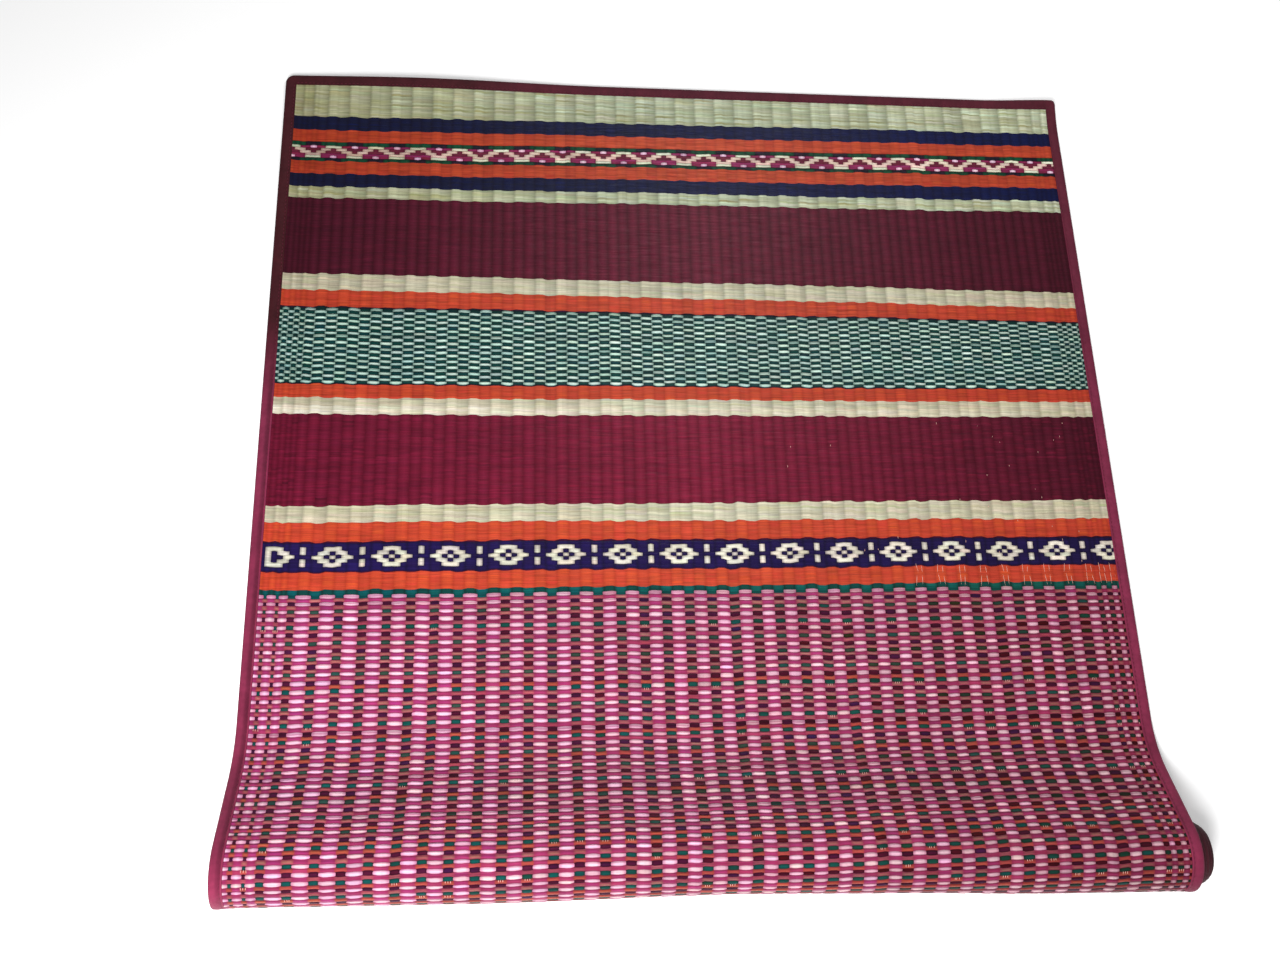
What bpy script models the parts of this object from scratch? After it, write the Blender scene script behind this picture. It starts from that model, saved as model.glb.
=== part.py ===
"""Woven grass yoga mat, laid flat on the floor with its near end wound into a low roll.

Metres, +Z up. X runs across the mat, +Y runs to its flat far end, and the floor is Z = 0.
The origin is on the underside, at the middle of the mat's width. The near end is wound
under itself, face outward, into a sagging oval roll whose axis is a little out of square
with the mat, so its turns step sideways to the right as they go in.
"""
import math
from typing import NamedTuple

import bmesh
import bpy

MM = 0.001

# Cut sizes of the mat
MAT_WIDTH = 760 * MM
FAR_EDGE_Y = 388 * MM
WEAVE_THICKNESS = 1.7 * MM
LEFT_CORNER_RADIUS = 8 * MM
RIGHT_CORNER_RADIUS = 5 * MM

# Binding tape, folded over the edge of the weave and sewn through
BINDING_WIDTH = 10 * MM
BINDING_WALL = 1.0 * MM
FOLD_SHOULDER = 1.2 * MM
FOLD_DROP = 0.7 * MM
CLEARANCE = 0.3 * MM
PINCHED_THICKNESS = 0.7 * MM
PINCH_RUN_OUT = 16 * MM

# Wound roll, measured over its first turn
ROLL_SKEW = math.radians(1.15)
ROLL_CENTRE_FORWARD = 326 * MM
ROLL_HALF_DEPTH = 29.6 * MM
ROLL_HALF_HEIGHT = 22.9 * MM
TURN_PITCH = 1.85 * MM
FLAT_SPOT_PRESS = 0.35 * MM
TELESCOPE = 19 * MM
STEP_POWER = 4
CORE_SHARE = 0.28
END_RIM_SHARE = 0.985

# Rise from the floor to the roll
RISE_ANGLE_LEFT = math.radians(31)
RISE_ANGLE_RIGHT = math.radians(30)
RISE_BEND_RADIUS = 90 * MM
NIP_LENGTH = 8 * MM

# Mesh steps
ROLL_STEPS = 34
BEND_STEPS = 6
END_SHARES = (0.94, 0.82, 0.64, 0.44, CORE_SHARE)
LINE_SPACING = 90 * MM
INNER_LINES = tuple(step * LINE_SPACING for step in range(-3, 4))
SHARP_ANGLE = math.radians(40)

# Heights that follow from the sizes above
HALF_WIDTH = MAT_WIDTH / 2
PINCHED_UNDER = BINDING_WALL + CLEARANCE
PINCHED_TOP = PINCHED_UNDER + PINCHED_THICKNESS
BINDING_TOP = PINCHED_TOP + CLEARANCE + BINDING_WALL


class Swell(NamedTuple):
    """A place where the flat part stands off the floor."""
    across: float
    along: float
    half_width: float
    half_length: float
    height: float


class Rim(NamedTuple):
    """Heights at one distance in from the mat's edge, flat and on the roll."""
    inset: float
    under: float
    top: float
    roll_upper: float
    roll_lower: float


class Row(NamedTuple):
    """A line of points across the mat: which stretch it lies on, and how far along it."""
    stretch: str
    place: float


# The far edge curls up towards its left, and a little at its right corner
SWELLS = (
    Swell(across=-250 * MM, along=FAR_EDGE_Y, half_width=170 * MM, half_length=62 * MM, height=4.0 * MM),
    Swell(across=HALF_WIDTH, along=FAR_EDGE_Y, half_width=80 * MM, half_length=40 * MM, height=4.0 * MM),
)

# The middle of the roll lies a little further back than its ends: across, forward
ROLL_BOW = (
    (-380 * MM, -1.5 * MM),
    (-190 * MM, -1.5 * MM),
    (10 * MM, -5.0 * MM),
    (140 * MM, -3.6 * MM),
    (260 * MM, -1.2 * MM),
    (380 * MM, -1.2 * MM),
)

PANEL_RIM = (
    Rim(PINCHED_UNDER, PINCHED_UNDER, PINCHED_TOP, 0.0, 0.0),
    Rim(BINDING_WIDTH + CLEARANCE, PINCHED_UNDER, PINCHED_TOP, PINCHED_TOP - WEAVE_THICKNESS, 0.0),
    Rim(PINCH_RUN_OUT, 0.0, WEAVE_THICKNESS, 0.0, 0.0),
)
BINDING_RIM = (
    Rim(0.0, FOLD_DROP, BINDING_TOP - FOLD_DROP, BINDING_TOP - FOLD_DROP - WEAVE_THICKNESS, -FOLD_DROP),
    Rim(FOLD_SHOULDER, 0.0, BINDING_TOP, BINDING_TOP - WEAVE_THICKNESS, 0.0),
    Rim(BINDING_WIDTH / 2, 0.0, BINDING_TOP, BINDING_TOP - WEAVE_THICKNESS, 0.0),
    Rim(BINDING_WIDTH, 0.0, BINDING_TOP, BINDING_TOP - WEAVE_THICKNESS, 0.0),
)
POCKET_RIM = (
    Rim(BINDING_WALL, BINDING_WALL, BINDING_TOP - BINDING_WALL, 0.0, 0.0),
    Rim(BINDING_WIDTH, BINDING_WALL, BINDING_TOP - BINDING_WALL, 0.0, 0.0),
)

FLAT_ROWS = tuple(Row("flat", share) for share in (0.05, 0.10, 0.25, 0.45, 0.65, 0.85, 1.0))
BEND_ROWS = tuple(Row("bend", step / BEND_STEPS) for step in range(1, BEND_STEPS + 1))
RISE_ROWS = tuple(Row("rise", share) for share in (0.5, 0.96, 1.0))
BODY_ROWS = (Row("edge", PINCH_RUN_OUT), *FLAT_ROWS, *BEND_ROWS, *RISE_ROWS)
NIP_ROW = BODY_ROWS[-1]


def smooth_step(value):
    """Ease from 0 to 1."""
    value = min(max(value, 0.0), 1.0)
    return value * value * (3 - 2 * value)


def read_table(table, place):
    """Second column of a two-column table at a place in its first, joined by soft steps."""
    for (low, low_value), (high, high_value) in zip(table, table[1:]):
        if place <= high:
            return low_value + (high_value - low_value) * smooth_step((place - low) / (high - low))
    return table[-1][1]


def rim_at(rims, inset):
    """Heights at any inset, in straight runs between the named ones."""
    for near, far in zip(rims, rims[1:]):
        if inset <= far.inset:
            share = max(0.0, (inset - near.inset) / (far.inset - near.inset))
            return Rim(*(low + (high - low) * share for low, high in zip(near, far)))
    return rims[-1]


def swell_lift(x, y):
    """Height of the floor side of the mat over a place on its flat part."""
    lift = 0.0
    for swell in SWELLS:
        across = smooth_step(1 - abs(x - swell.across) / swell.half_width)
        along = max(0.0, 1 - abs(y - swell.along) / swell.half_length) ** 2
        lift += swell.height * across * along
    return lift


def round_corner(x, y):
    """Pull a flat point inward where it lies within a rounded far corner."""
    radius = LEFT_CORNER_RADIUS if x < 0 else RIGHT_CORNER_RADIUS
    side = radius - (HALF_WIDTH - abs(x))
    far = radius - (FAR_EDGE_Y - y)
    if side <= 0 or far <= 0:
        return x, y
    shrink = max(side, far) / math.hypot(side, far)
    return math.copysign(HALF_WIDTH - radius + side * shrink, x), FAR_EDGE_Y - radius + far * shrink


def roll_frame_point(across, wound, forward, height):
    """Point from its place across the mat, its length along it, and its place in the section."""
    along_axis = across / math.cos(ROLL_SKEW) + wound * math.tan(ROLL_SKEW)
    return (
        along_axis * math.cos(ROLL_SKEW) - forward * math.sin(ROLL_SKEW),
        -along_axis * math.sin(ROLL_SKEW) - forward * math.cos(ROLL_SKEW),
        height,
    )


class Section:
    """Shape of the mat in the plane across the roll, at one place across the width."""

    def __init__(self, across):
        """Work out the rise and the roll where the mat is cut at this place."""
        self.across = across
        side = (across + HALF_WIDTH) / MAT_WIDTH
        self.angle = RISE_ANGLE_LEFT + (RISE_ANGLE_RIGHT - RISE_ANGLE_LEFT) * side
        self.centre_forward = ROLL_CENTRE_FORWARD + read_table(ROLL_BOW, across)
        first = math.atan(ROLL_HALF_DEPTH * math.tan(self.angle) / ROLL_HALF_HEIGHT)
        self.first_turn = -first
        bottom = ROLL_HALF_HEIGHT - TURN_PITCH * (math.pi + first) / math.tau
        self.centre_height = bottom - FLAT_SPOT_PRESS
        touch = self.over_roll(self.first_turn)
        self.foot_of_touch = (
            touch[0] + WEAVE_THICKNESS * math.sin(self.angle),
            touch[1] - WEAVE_THICKNESS * math.cos(self.angle),
        )
        crossing = self.foot_of_touch[0] - self.foot_of_touch[1] / math.tan(self.angle)
        self.bend_start = crossing - RISE_BEND_RADIUS * math.tan(self.angle / 2)
        self.bend_length = RISE_BEND_RADIUS * self.angle
        bend_end = self.bend_point(1.0)
        self.rise_length = math.dist(bend_end, self.foot_of_touch) - NIP_LENGTH

    def over_roll(self, turn):
        """Point on the outside of the roll: turn 0 is its top, growing towards the near side."""
        wound_in = TURN_PITCH * (turn - self.first_turn) / math.tau
        return (
            self.centre_forward + (ROLL_HALF_DEPTH - wound_in) * math.sin(turn),
            self.centre_height + (ROLL_HALF_HEIGHT - wound_in) * math.cos(turn),
        )

    def bend_point(self, share):
        """Underside of the bend where the mat leaves the floor."""
        turned = self.angle * share
        return (
            self.bend_start + RISE_BEND_RADIUS * math.sin(turned),
            RISE_BEND_RADIUS * (1 - math.cos(turned)),
        )

    def far_forward(self, y):
        """Forward place of a flat line at this Y."""
        return -y * math.cos(ROLL_SKEW) - self.across * math.sin(ROLL_SKEW)

    def sheet_point(self, row, height):
        """Point of the sheet on a row, at a height over its underside."""
        if row.stretch == "edge":
            x, y = round_corner(self.across, FAR_EDGE_Y - row.place)
            return x, y, height + swell_lift(x, y)
        if row.stretch == "flat":
            start = self.far_forward(FAR_EDGE_Y - PINCH_RUN_OUT)
            forward = start + (self.bend_start - start) * row.place
            x, y, _ = roll_frame_point(self.across, forward, forward, 0.0)
            return x, y, height + swell_lift(x, y)
        if row.stretch == "bend":
            turned = self.angle * row.place
            forward, level = self.bend_point(row.place)
            wound = self.bend_start + self.bend_length * row.place
        else:
            turned = self.angle
            forward, level = self.bend_point(1.0)
            run = self.rise_length * row.place
            forward += run * math.cos(turned)
            level += run * math.sin(turned)
            wound = self.bend_start + self.bend_length + run
        return roll_frame_point(
            self.across, wound, forward - height * math.sin(turned), level + height * math.cos(turned))

    def outline_turns(self):
        """Turns of the roll's outline, from where the sheet touches it back to the nip."""
        sweep = math.tau - NIP_LENGTH / ROLL_HALF_DEPTH
        return [self.first_turn + sweep * step / ROLL_STEPS for step in range(ROLL_STEPS + 1)]

    def roll_outline(self, upper, lower):
        """Section points round the roll, standing out by upper over its top and lower under it."""
        points = []
        for turn in self.outline_turns():
            forward, level = self.over_roll(turn)
            stand_out = upper + (lower - upper) * smooth_step(turn / math.pi)
            reach = math.hypot(forward - self.centre_forward, level - self.centre_height)
            grow = 1 + stand_out / reach
            forward = self.centre_forward + (forward - self.centre_forward) * grow
            level = self.centre_height + (level - self.centre_height) * grow
            points.append((forward, max(level, -lower)))
        return points

    def end_ring(self, share):
        """Section points of an oval at the roll's end: a share of the size inside its first turn."""
        nip_turn = self.first_turn - NIP_LENGTH / ROLL_HALF_DEPTH / 2
        depth = (ROLL_HALF_DEPTH - TURN_PITCH) * share
        height = (ROLL_HALF_HEIGHT - TURN_PITCH) * share
        return [
            (self.centre_forward + depth * math.sin(turn), self.centre_height + height * math.cos(turn))
            for turn in (nip_turn, *self.outline_turns())
        ]

    def roll_point(self, section_point, shift=0.0):
        """Point of the roll from its place in the section, moved along the axis by a shift."""
        wound = self.bend_start + self.bend_length + self.rise_length + NIP_LENGTH
        x, y, z = roll_frame_point(self.across, wound, *section_point)
        return x + shift * math.cos(ROLL_SKEW), y - shift * math.sin(ROLL_SKEW), z


class Shell:
    """Points and faces of one closed piece."""

    def __init__(self):
        """Start with no points and no faces."""
        self.points = []
        self.faces = []

    def point(self, place):
        """Add a point and return its number."""
        self.points.append(place)
        return len(self.points) - 1

    def face(self, *corners):
        """Add a face between numbered points."""
        self.faces.append(corners)

    def strip(self, first, second):
        """Join two runs of points of the same length with faces."""
        for step in range(len(first) - 1):
            self.face(first[step], first[step + 1], second[step + 1], second[step])

    def make(self, name, material):
        """Build the object, with every face turned outward."""
        mesh = bpy.data.meshes.new(name)
        mesh.from_pydata(self.points, [], self.faces)
        work = bmesh.new()
        work.from_mesh(mesh)
        bmesh.ops.recalc_face_normals(work, faces=work.faces)
        work.to_mesh(mesh)
        work.free()
        mesh.materials.append(material)
        mesh.shade_smooth()
        mesh.set_sharp_from_angle(angle=SHARP_ANGLE)
        part = bpy.data.objects.new(name, mesh)
        bpy.context.scene.collection.objects.link(part)
        return part


class Grid:
    """Upper and lower points of a sheet, on lines along the mat and rows across it."""

    def __init__(self, shell, lines, rows, rims):
        """Place every point from the heights that its distance from the edge gives."""
        self.shell = shell
        self.lines = lines
        self.rows = rows
        self.upper = {}
        self.lower = {}
        self.edges = {}
        for across in lines:
            section = Section(across)
            for row in rows:
                inset = HALF_WIDTH - abs(across)
                if row.stretch == "edge":
                    inset = min(inset, row.place)
                rim = rim_at(rims, inset)
                self.upper[across, row] = shell.point(section.sheet_point(row, rim.top))
                self.lower[across, row] = shell.point(section.sheet_point(row, rim.under))

    def fill(self, keep_cell):
        """Add the upper and lower face of each cell that is kept."""
        for left, right in zip(self.lines, self.lines[1:]):
            for far, near in zip(self.rows, self.rows[1:]):
                if not keep_cell(left, right, far, near):
                    continue
                corners = ((left, far), (right, far), (right, near), (left, near))
                self.shell.face(*(self.upper[corner] for corner in corners))
                self.shell.face(*(self.lower[corner] for corner in reversed(corners)))
                for start, end in zip(corners, corners[1:] + corners[:1]):
                    self.edges.setdefault(frozenset((start, end)), []).append((start, end))

    def free_edges(self):
        """Pairs of grid places where the kept cells end."""
        return [uses[0] for uses in self.edges.values() if len(uses) == 1]

    def wall(self, start, end):
        """Close the sheet between its upper and lower face along one edge."""
        self.shell.face(self.upper[start], self.upper[end], self.lower[end], self.lower[start])


def add_roll_loops(shell, grid, lines, rims):
    """Wrap the roll's surface on the sheet's nip row and return the loop at each line."""
    loops = {}
    for across in lines:
        section = Section(across)
        rim = rim_at(rims, HALF_WIDTH - abs(across))
        *wrapped, nip = section.roll_outline(rim.roll_upper, rim.roll_lower)
        shell.points[grid.lower[across, NIP_ROW]] = section.roll_point(nip)
        ring = [shell.point(section.roll_point(place)) for place in wrapped]
        loops[across] = [grid.upper[across, NIP_ROW], *ring, grid.lower[across, NIP_ROW]]
    for left, right in zip(lines, lines[1:]):
        shell.strip(loops[left], loops[right])
    return loops


def add_roll_end(shell, across, loop, shares, seam=()):
    """Close one end of the roll, its middle stepping to the right as the turns go in."""
    section = Section(across)
    outer = loop
    for share in shares:
        shift = TELESCOPE * (1 - (share / END_RIM_SHARE) ** STEP_POWER)
        ring = [shell.point(section.roll_point(place, shift)) for place in section.end_ring(share)]
        shell.strip(outer, ring)
        closing = seam if outer is loop else ()
        shell.face(outer[-1], *closing, outer[0], ring[0], ring[-1])
        outer = ring
    shell.face(*outer)


def side_lines(insets):
    """Lines along the mat at these distances in from both sides, left to right."""
    left = [-HALF_WIDTH + inset for inset in insets]
    return left, [-across for across in reversed(left)]


def all_rows(insets):
    """Rows at these distances in from the far edge, then the rows that every piece has."""
    return [*(Row("edge", inset) for inset in insets if inset < PINCH_RUN_OUT), *BODY_ROWS]


def build_woven_panel(material):
    """The woven grass: pinched edges, flat part, rise and solid wound roll."""
    shell = Shell()
    insets = [rim.inset for rim in PANEL_RIM]
    left, right = side_lines(insets)
    lines = [*left, *INNER_LINES, *right]
    grid = Grid(shell, lines, all_rows(insets), PANEL_RIM)
    roll_lines = lines[1:-1]

    def keep_cell(left_line, right_line, _far, near):
        in_binding = left_line == lines[0] or right_line == lines[-1]
        return not (in_binding and near == NIP_ROW)

    grid.fill(keep_cell)
    for start, end in grid.free_edges():
        if start[1] != NIP_ROW or end[1] != NIP_ROW:
            grid.wall(start, end)
    loops = add_roll_loops(shell, grid, roll_lines, PANEL_RIM)
    for across in (roll_lines[0], roll_lines[-1]):
        add_roll_end(shell, across, loops[across], (END_RIM_SHARE, *END_SHARES))
    return shell.make("woven_panel", material)


def build_edge_binding(material):
    """The tape: one strip folded round both sides and the far end, wound at the roll's ends."""
    shell = Shell()
    outer_insets = [rim.inset for rim in BINDING_RIM]
    pocket_insets = [rim.inset for rim in POCKET_RIM]
    mouth_left, mouth_right = -HALF_WIDTH + BINDING_WIDTH, HALF_WIDTH - BINDING_WIDTH
    mouth_row = Row("edge", BINDING_WIDTH)

    def make_grid(insets, rims):
        left, right = side_lines(insets)
        return Grid(shell, [*left, *INNER_LINES, *right], all_rows(insets), rims)

    def keep_cell(left_line, right_line, far, _near):
        on_side = right_line <= mouth_left or left_line >= mouth_right
        return on_side or (far.stretch == "edge" and far.place < BINDING_WIDTH)

    def on_mouth(start, end):
        on_row = start[1] == end[1] == mouth_row
        on_line = start[0] == end[0] and start[0] in (mouth_left, mouth_right)
        return on_row or on_line

    outside = make_grid(outer_insets, BINDING_RIM)
    pocket = make_grid(pocket_insets, POCKET_RIM)
    outside.fill(keep_cell)
    pocket.fill(keep_cell)
    for start, end in outside.free_edges():
        if on_mouth(start, end):
            shell.face(outside.upper[start], outside.upper[end], pocket.upper[end], pocket.upper[start])
            shell.face(outside.lower[start], outside.lower[end], pocket.lower[end], pocket.lower[start])
        elif start[1] != NIP_ROW or end[1] != NIP_ROW:
            outside.wall(start, end)
    for start, end in pocket.free_edges():
        if not on_mouth(start, end):
            pocket.wall(start, end)

    for lines, outer_line, mouth in zip(side_lines(outer_insets), (-HALF_WIDTH, HALF_WIDTH),
                                        (mouth_left, mouth_right)):
        loops = add_roll_loops(shell, outside, lines, BINDING_RIM)
        add_roll_end(shell, outer_line, loops[outer_line], END_SHARES)
        seam = (pocket.lower[mouth, NIP_ROW], pocket.upper[mouth, NIP_ROW])
        add_roll_end(shell, mouth, loops[mouth], (END_RIM_SHARE, *END_SHARES), seam)
    return shell.make("edge_binding", material)


def make_material(name, colour, roughness):
    """Plain finish of one sub-part: colour is linear red, green and blue."""
    material = bpy.data.materials.new(name)
    material.use_nodes = True
    shader = material.node_tree.nodes["Principled BSDF"]
    shader.inputs["Base Color"].default_value = (*colour, 1.0)
    shader.inputs["Roughness"].default_value = roughness
    shader.inputs["Metallic"].default_value = 0.0
    return material


def clear_scene():
    """Remove whatever the file starts with."""
    for item in list(bpy.data.objects):
        bpy.data.objects.remove(item)


def main():
    """Build the mat."""
    clear_scene()
    build_woven_panel(make_material("woven_grass", (0.36, 0.09, 0.12), 0.55))
    build_edge_binding(make_material("binding_cloth", (0.16, 0.03, 0.07), 0.8))


main()
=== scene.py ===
"""Looks of the woven grass yoga mat: its striped weave, its cloth edge binding and its rolled near end.

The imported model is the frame, in metres: X runs across the mat, +Y to its flat far end, and the floor is
Z = 0. Every surface is first laid out on the uncut mat, by a place across it and a length from its far edge,
and MatShape then carries it over the floor, up the rise and round the roll.
"""
import logging
import math
from dataclasses import dataclass, field
from enum import Enum
from functools import cached_property
from typing import ClassVar

import bpy
import numpy as np
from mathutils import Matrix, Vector


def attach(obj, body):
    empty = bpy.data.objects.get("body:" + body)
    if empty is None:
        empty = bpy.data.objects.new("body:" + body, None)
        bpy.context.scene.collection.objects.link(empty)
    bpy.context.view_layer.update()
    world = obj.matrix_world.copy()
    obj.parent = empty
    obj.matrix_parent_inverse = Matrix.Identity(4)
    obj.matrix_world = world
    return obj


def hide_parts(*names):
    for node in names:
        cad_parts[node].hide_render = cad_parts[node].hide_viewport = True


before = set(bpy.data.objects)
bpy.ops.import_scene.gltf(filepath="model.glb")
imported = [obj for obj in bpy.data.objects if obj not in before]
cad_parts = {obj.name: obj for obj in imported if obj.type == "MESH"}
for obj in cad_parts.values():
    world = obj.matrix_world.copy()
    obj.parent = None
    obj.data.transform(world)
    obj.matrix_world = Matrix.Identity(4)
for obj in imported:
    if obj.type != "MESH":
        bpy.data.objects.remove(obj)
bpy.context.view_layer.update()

MM = 0.001
LOG = logging.getLogger("grass_mat")

Array = np.ndarray
Colour = tuple[float, float, float]
Material = bpy.types.Material
Piece = bpy.types.Object
Socket = bpy.types.NodeSocket


def ease(value: Array | float) -> Array:
    """Soft step from 0 to 1."""
    value = np.clip(value, 0.0, 1.0)
    return value * value * (3 - 2 * value)


def blend(first: Array | float, second: Array | float, share: Array | float) -> Array:
    """Value a share of the way from the first to the second."""
    return first + (second - first) * share


def soft_table(table: tuple[tuple[float, float], ...], place: Array | float) -> Array:
    """Read a two-column table at places in its first column, joined by soft steps.

    Args:
        table: Pairs of place and value, in rising order of place.
        place: Places to read it at.

    Returns:
        The value at each place.
    """
    places, values = np.array(table).T
    last = len(places) - 2
    index = np.clip(np.searchsorted(places, place) - 1, 0, last)
    share = (place - places[index]) / (places[index + 1] - places[index])
    return blend(values[index], values[index + 1], ease(share))


def linear(colour: Colour) -> Array:
    """Linear light of a colour given as red, green and blue from 0 to 255."""
    value = np.array(colour) / 255
    return np.where(value <= 0.04045, value / 12.92, ((value + 0.055) / 1.055) ** 2.4)


@dataclass(frozen=True)
class Swell:
    """A place where the flat part stands off the floor."""
    across: float
    along: float
    half_width: float
    half_length: float
    height: float


@dataclass(frozen=True)
class SectionTable:
    """The mat's upper face in the plane across the roll, at one place across its width."""
    length: Array
    forward: Array
    level: Array
    lean: Array
    drift: Array
    turn: Array
    COLUMNS: ClassVar[tuple[str, ...]] = ("forward", "level", "lean", "drift", "turn")

    def read(self, wound: Array) -> Array:
        """Forward place, level, lean, drift along the axis and turn, at wound lengths."""
        return np.stack([np.interp(wound, self.length, getattr(self, name)) for name in self.COLUMNS])


@dataclass(frozen=True)
class MatShape:
    """How the mat lies: flat, then bent up off the floor, then wound under itself into a sagging roll.

    The roll's axis is a little out of square with the mat, so its turns step to the right as they go in.
    """
    width: float = 760 * MM
    far_edge: float = 388 * MM
    thickness: float = 1.7 * MM
    left_corner: float = 8 * MM
    right_corner: float = 5 * MM
    skew: float = math.radians(1.15)
    centre_forward: float = 326 * MM
    half_depth: float = 29.6 * MM
    half_height: float = 22.9 * MM
    turn_pitch: float = 1.85 * MM
    flat_spot: float = 0.35 * MM
    telescope: float = 19 * MM
    step_power: float = 4
    core_share: float = 0.28
    end_share: float = 0.985
    rise_left: float = math.radians(31)
    rise_right: float = math.radians(30)
    bend_radius: float = 90 * MM
    nip_length: float = 8 * MM
    bow: tuple[tuple[float, float], ...] = (
        (-380 * MM, -1.5 * MM), (-190 * MM, -1.5 * MM), (10 * MM, -5.0 * MM),
        (140 * MM, -3.6 * MM), (260 * MM, -1.2 * MM), (380 * MM, -1.2 * MM),
    )
    swells: tuple[Swell, ...] = (
        Swell(-250 * MM, 388 * MM, 170 * MM, 62 * MM, 4.0 * MM),
        Swell(380 * MM, 388 * MM, 80 * MM, 40 * MM, 4.0 * MM),
    )
    station_count: int = 21
    bend_steps: int = 13
    steps_a_turn: int = 90

    @property
    def half_width(self) -> float:
        """Half of the width."""
        return self.width / 2

    @property
    def mean_radius(self) -> float:
        """Mean of the roll's half depth and half height, inside its first turn."""
        return (self.half_depth + self.half_height) / 2 - self.turn_pitch

    @property
    def turn_count(self) -> float:
        """Turns from the roll's outside to the mat's hidden near end."""
        return (self.turn_pitch + self.mean_radius * (1 - self.core_share)) / self.turn_pitch

    @cached_property
    def stations(self) -> list[SectionTable]:
        """Section tables, evenly spaced across the width."""
        places = np.linspace(-self.half_width, self.half_width, self.station_count)
        return [self.section(float(place)) for place in places]

    @cached_property
    def near_end(self) -> float:
        """Length of the whole mat, from its far edge to the end inside the roll."""
        return self.far_edge + float(self.stations[self.station_count // 2].length[-1])

    def section(self, across: float) -> SectionTable:
        """Trace the mat's upper face at one place across it.

        Args:
            across: Place across the mat, from its middle.

        Returns:
            The table of its places over the wound length, which is the forward place on the flat.
        """
        angle = blend(self.rise_left, self.rise_right, across / self.width + 0.5)
        middle = self.centre_forward + float(soft_table(self.bow, across))
        first = math.atan(self.half_depth * math.tan(angle) / self.half_height)
        level = self.half_height - self.turn_pitch * (math.pi + first) / math.tau - self.flat_spot
        turned = np.linspace(0, math.tau * self.turn_count, round(self.steps_a_turn * self.turn_count))
        wound_in = self.turn_pitch * turned / math.tau
        turn = turned - first
        roll_forward = middle + (self.half_depth - wound_in) * np.sin(turn)
        roll_level = level + (self.half_height - wound_in) * np.cos(turn)

        foot_forward = roll_forward[0] + self.thickness * math.sin(angle)
        foot_level = roll_level[0] - self.thickness * math.cos(angle)
        crossing = foot_forward - foot_level / math.tan(angle)
        bend_start = crossing - self.bend_radius * math.tan(angle / 2)
        bend = angle * np.linspace(0, 1, self.bend_steps)
        radius = self.bend_radius - self.thickness
        bend_forward = bend_start + radius * np.sin(bend)
        bend_level = self.bend_radius - radius * np.cos(bend)

        flat_start = -2 * self.far_edge
        forward = np.concatenate([[flat_start], bend_forward, roll_forward])
        height = np.concatenate([[self.thickness], bend_level, roll_level])
        steps = np.hypot(np.diff(forward), np.diff(height))
        length = flat_start + np.concatenate([[0], np.cumsum(steps)])
        roll_lean = np.unwrap(np.arctan2(np.gradient(roll_level), np.gradient(roll_forward)))
        roll_lean += angle - roll_lean[0]
        lean = np.concatenate([[0], bend, roll_lean])
        share = 1 - (wound_in - self.turn_pitch) / self.mean_radius
        step_out = 1 - (np.minimum(share, self.end_share) / self.end_share) ** self.step_power
        ahead = len(bend) + 1
        drift = length * math.tan(self.skew)
        drift[ahead:] = (length[ahead] + self.nip_length) * math.tan(self.skew) + self.telescope * step_out
        turns = np.concatenate([np.full(ahead, -first), turn])
        return SectionTable(length, forward, height, lean, drift, turns)

    def wound(self, across: Array, along: Array) -> Array:
        """Wound length at places across the mat and lengths from its far edge."""
        return (along - self.far_edge) * math.cos(self.skew) - across * math.sin(self.skew)

    def read(self, across: Array, along: Array) -> Array:
        """Section values at places on the uncut mat, between the two nearest stations.

        Args:
            across: Places across the mat.
            along: Lengths from its far edge.

        Returns:
            Forward place, level, lean, drift and turn, stacked.
        """
        wound = self.wound(across, along)
        place = (across / self.width + 0.5) * (self.station_count - 1)
        # Stop just short of the last station, so that every place has one on each side
        place = np.clip(place, 0, self.station_count - 1.001)
        first = place.astype(int)
        values = np.empty((len(SectionTable.COLUMNS), *wound.shape))
        for number in np.unique(first):
            here = first == number
            left, right = (self.stations[number + step].read(wound[here]) for step in (0, 1))
            values[:, here] = blend(left, right, (place - first)[here])
        return values

    def inset(self, across: Array, along: Array) -> Array:
        """Distances in from the nearest of the long sides and the far end."""
        return np.minimum(self.half_width - np.abs(across), along)

    def lift(self, x: Array, y: Array) -> Array:
        """Height of the underside over places on the flat part.

        Args:
            x: Their X.
            y: Their Y.

        Returns:
            The height at each.
        """
        total = np.zeros_like(y)
        for swell in self.swells:
            near = ease(1 - np.abs(x - swell.across) / swell.half_width)
            total += swell.height * near * np.clip(1 - np.abs(y - swell.along) / swell.half_length, 0, 1) ** 2
        return total

    def rounded(self, across: Array, along: Array) -> tuple[Array, Array]:
        """Pull the places that lie within a rounded far corner inward.

        Args:
            across: Places across the mat.
            along: Lengths from its far edge.

        Returns:
            The places and the lengths, pulled in.
        """
        radius = np.where(across < 0, self.left_corner, self.right_corner)
        side = radius - (self.half_width - np.abs(across))
        far = radius - along
        inside = (side > 0) & (far > 0)
        shrink = np.where(inside, np.maximum(side, far) / np.maximum(np.hypot(side, far), 1e-9), 1.0)
        new_across = np.sign(across) * (self.half_width - radius + side * shrink)
        new_along = radius - far * shrink
        return np.where(inside, new_across, across), np.where(inside, new_along, along)

    def place(self, across: Array, along: Array, height: Array) -> Array:
        """Carry points of the uncut mat to where they lie.

        Args:
            across: Places across the mat.
            along: Lengths from its far edge.
            height: Heights over its underside.

        Returns:
            Points, with X, Y and Z in the last column.
        """
        across, along = self.rounded(across, along)
        forward, level, lean, drift, _ = self.read(across, along)
        over = height - self.thickness
        forward = forward - over * np.sin(lean)
        level = level + over * np.cos(lean)
        axis = across / math.cos(self.skew) + drift
        x = axis * math.cos(self.skew) - forward * math.sin(self.skew)
        y = -axis * math.sin(self.skew) - forward * math.cos(self.skew)
        return np.stack([x, y, np.maximum(level + self.lift(x, y), 0.0)], axis=-1)


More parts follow.
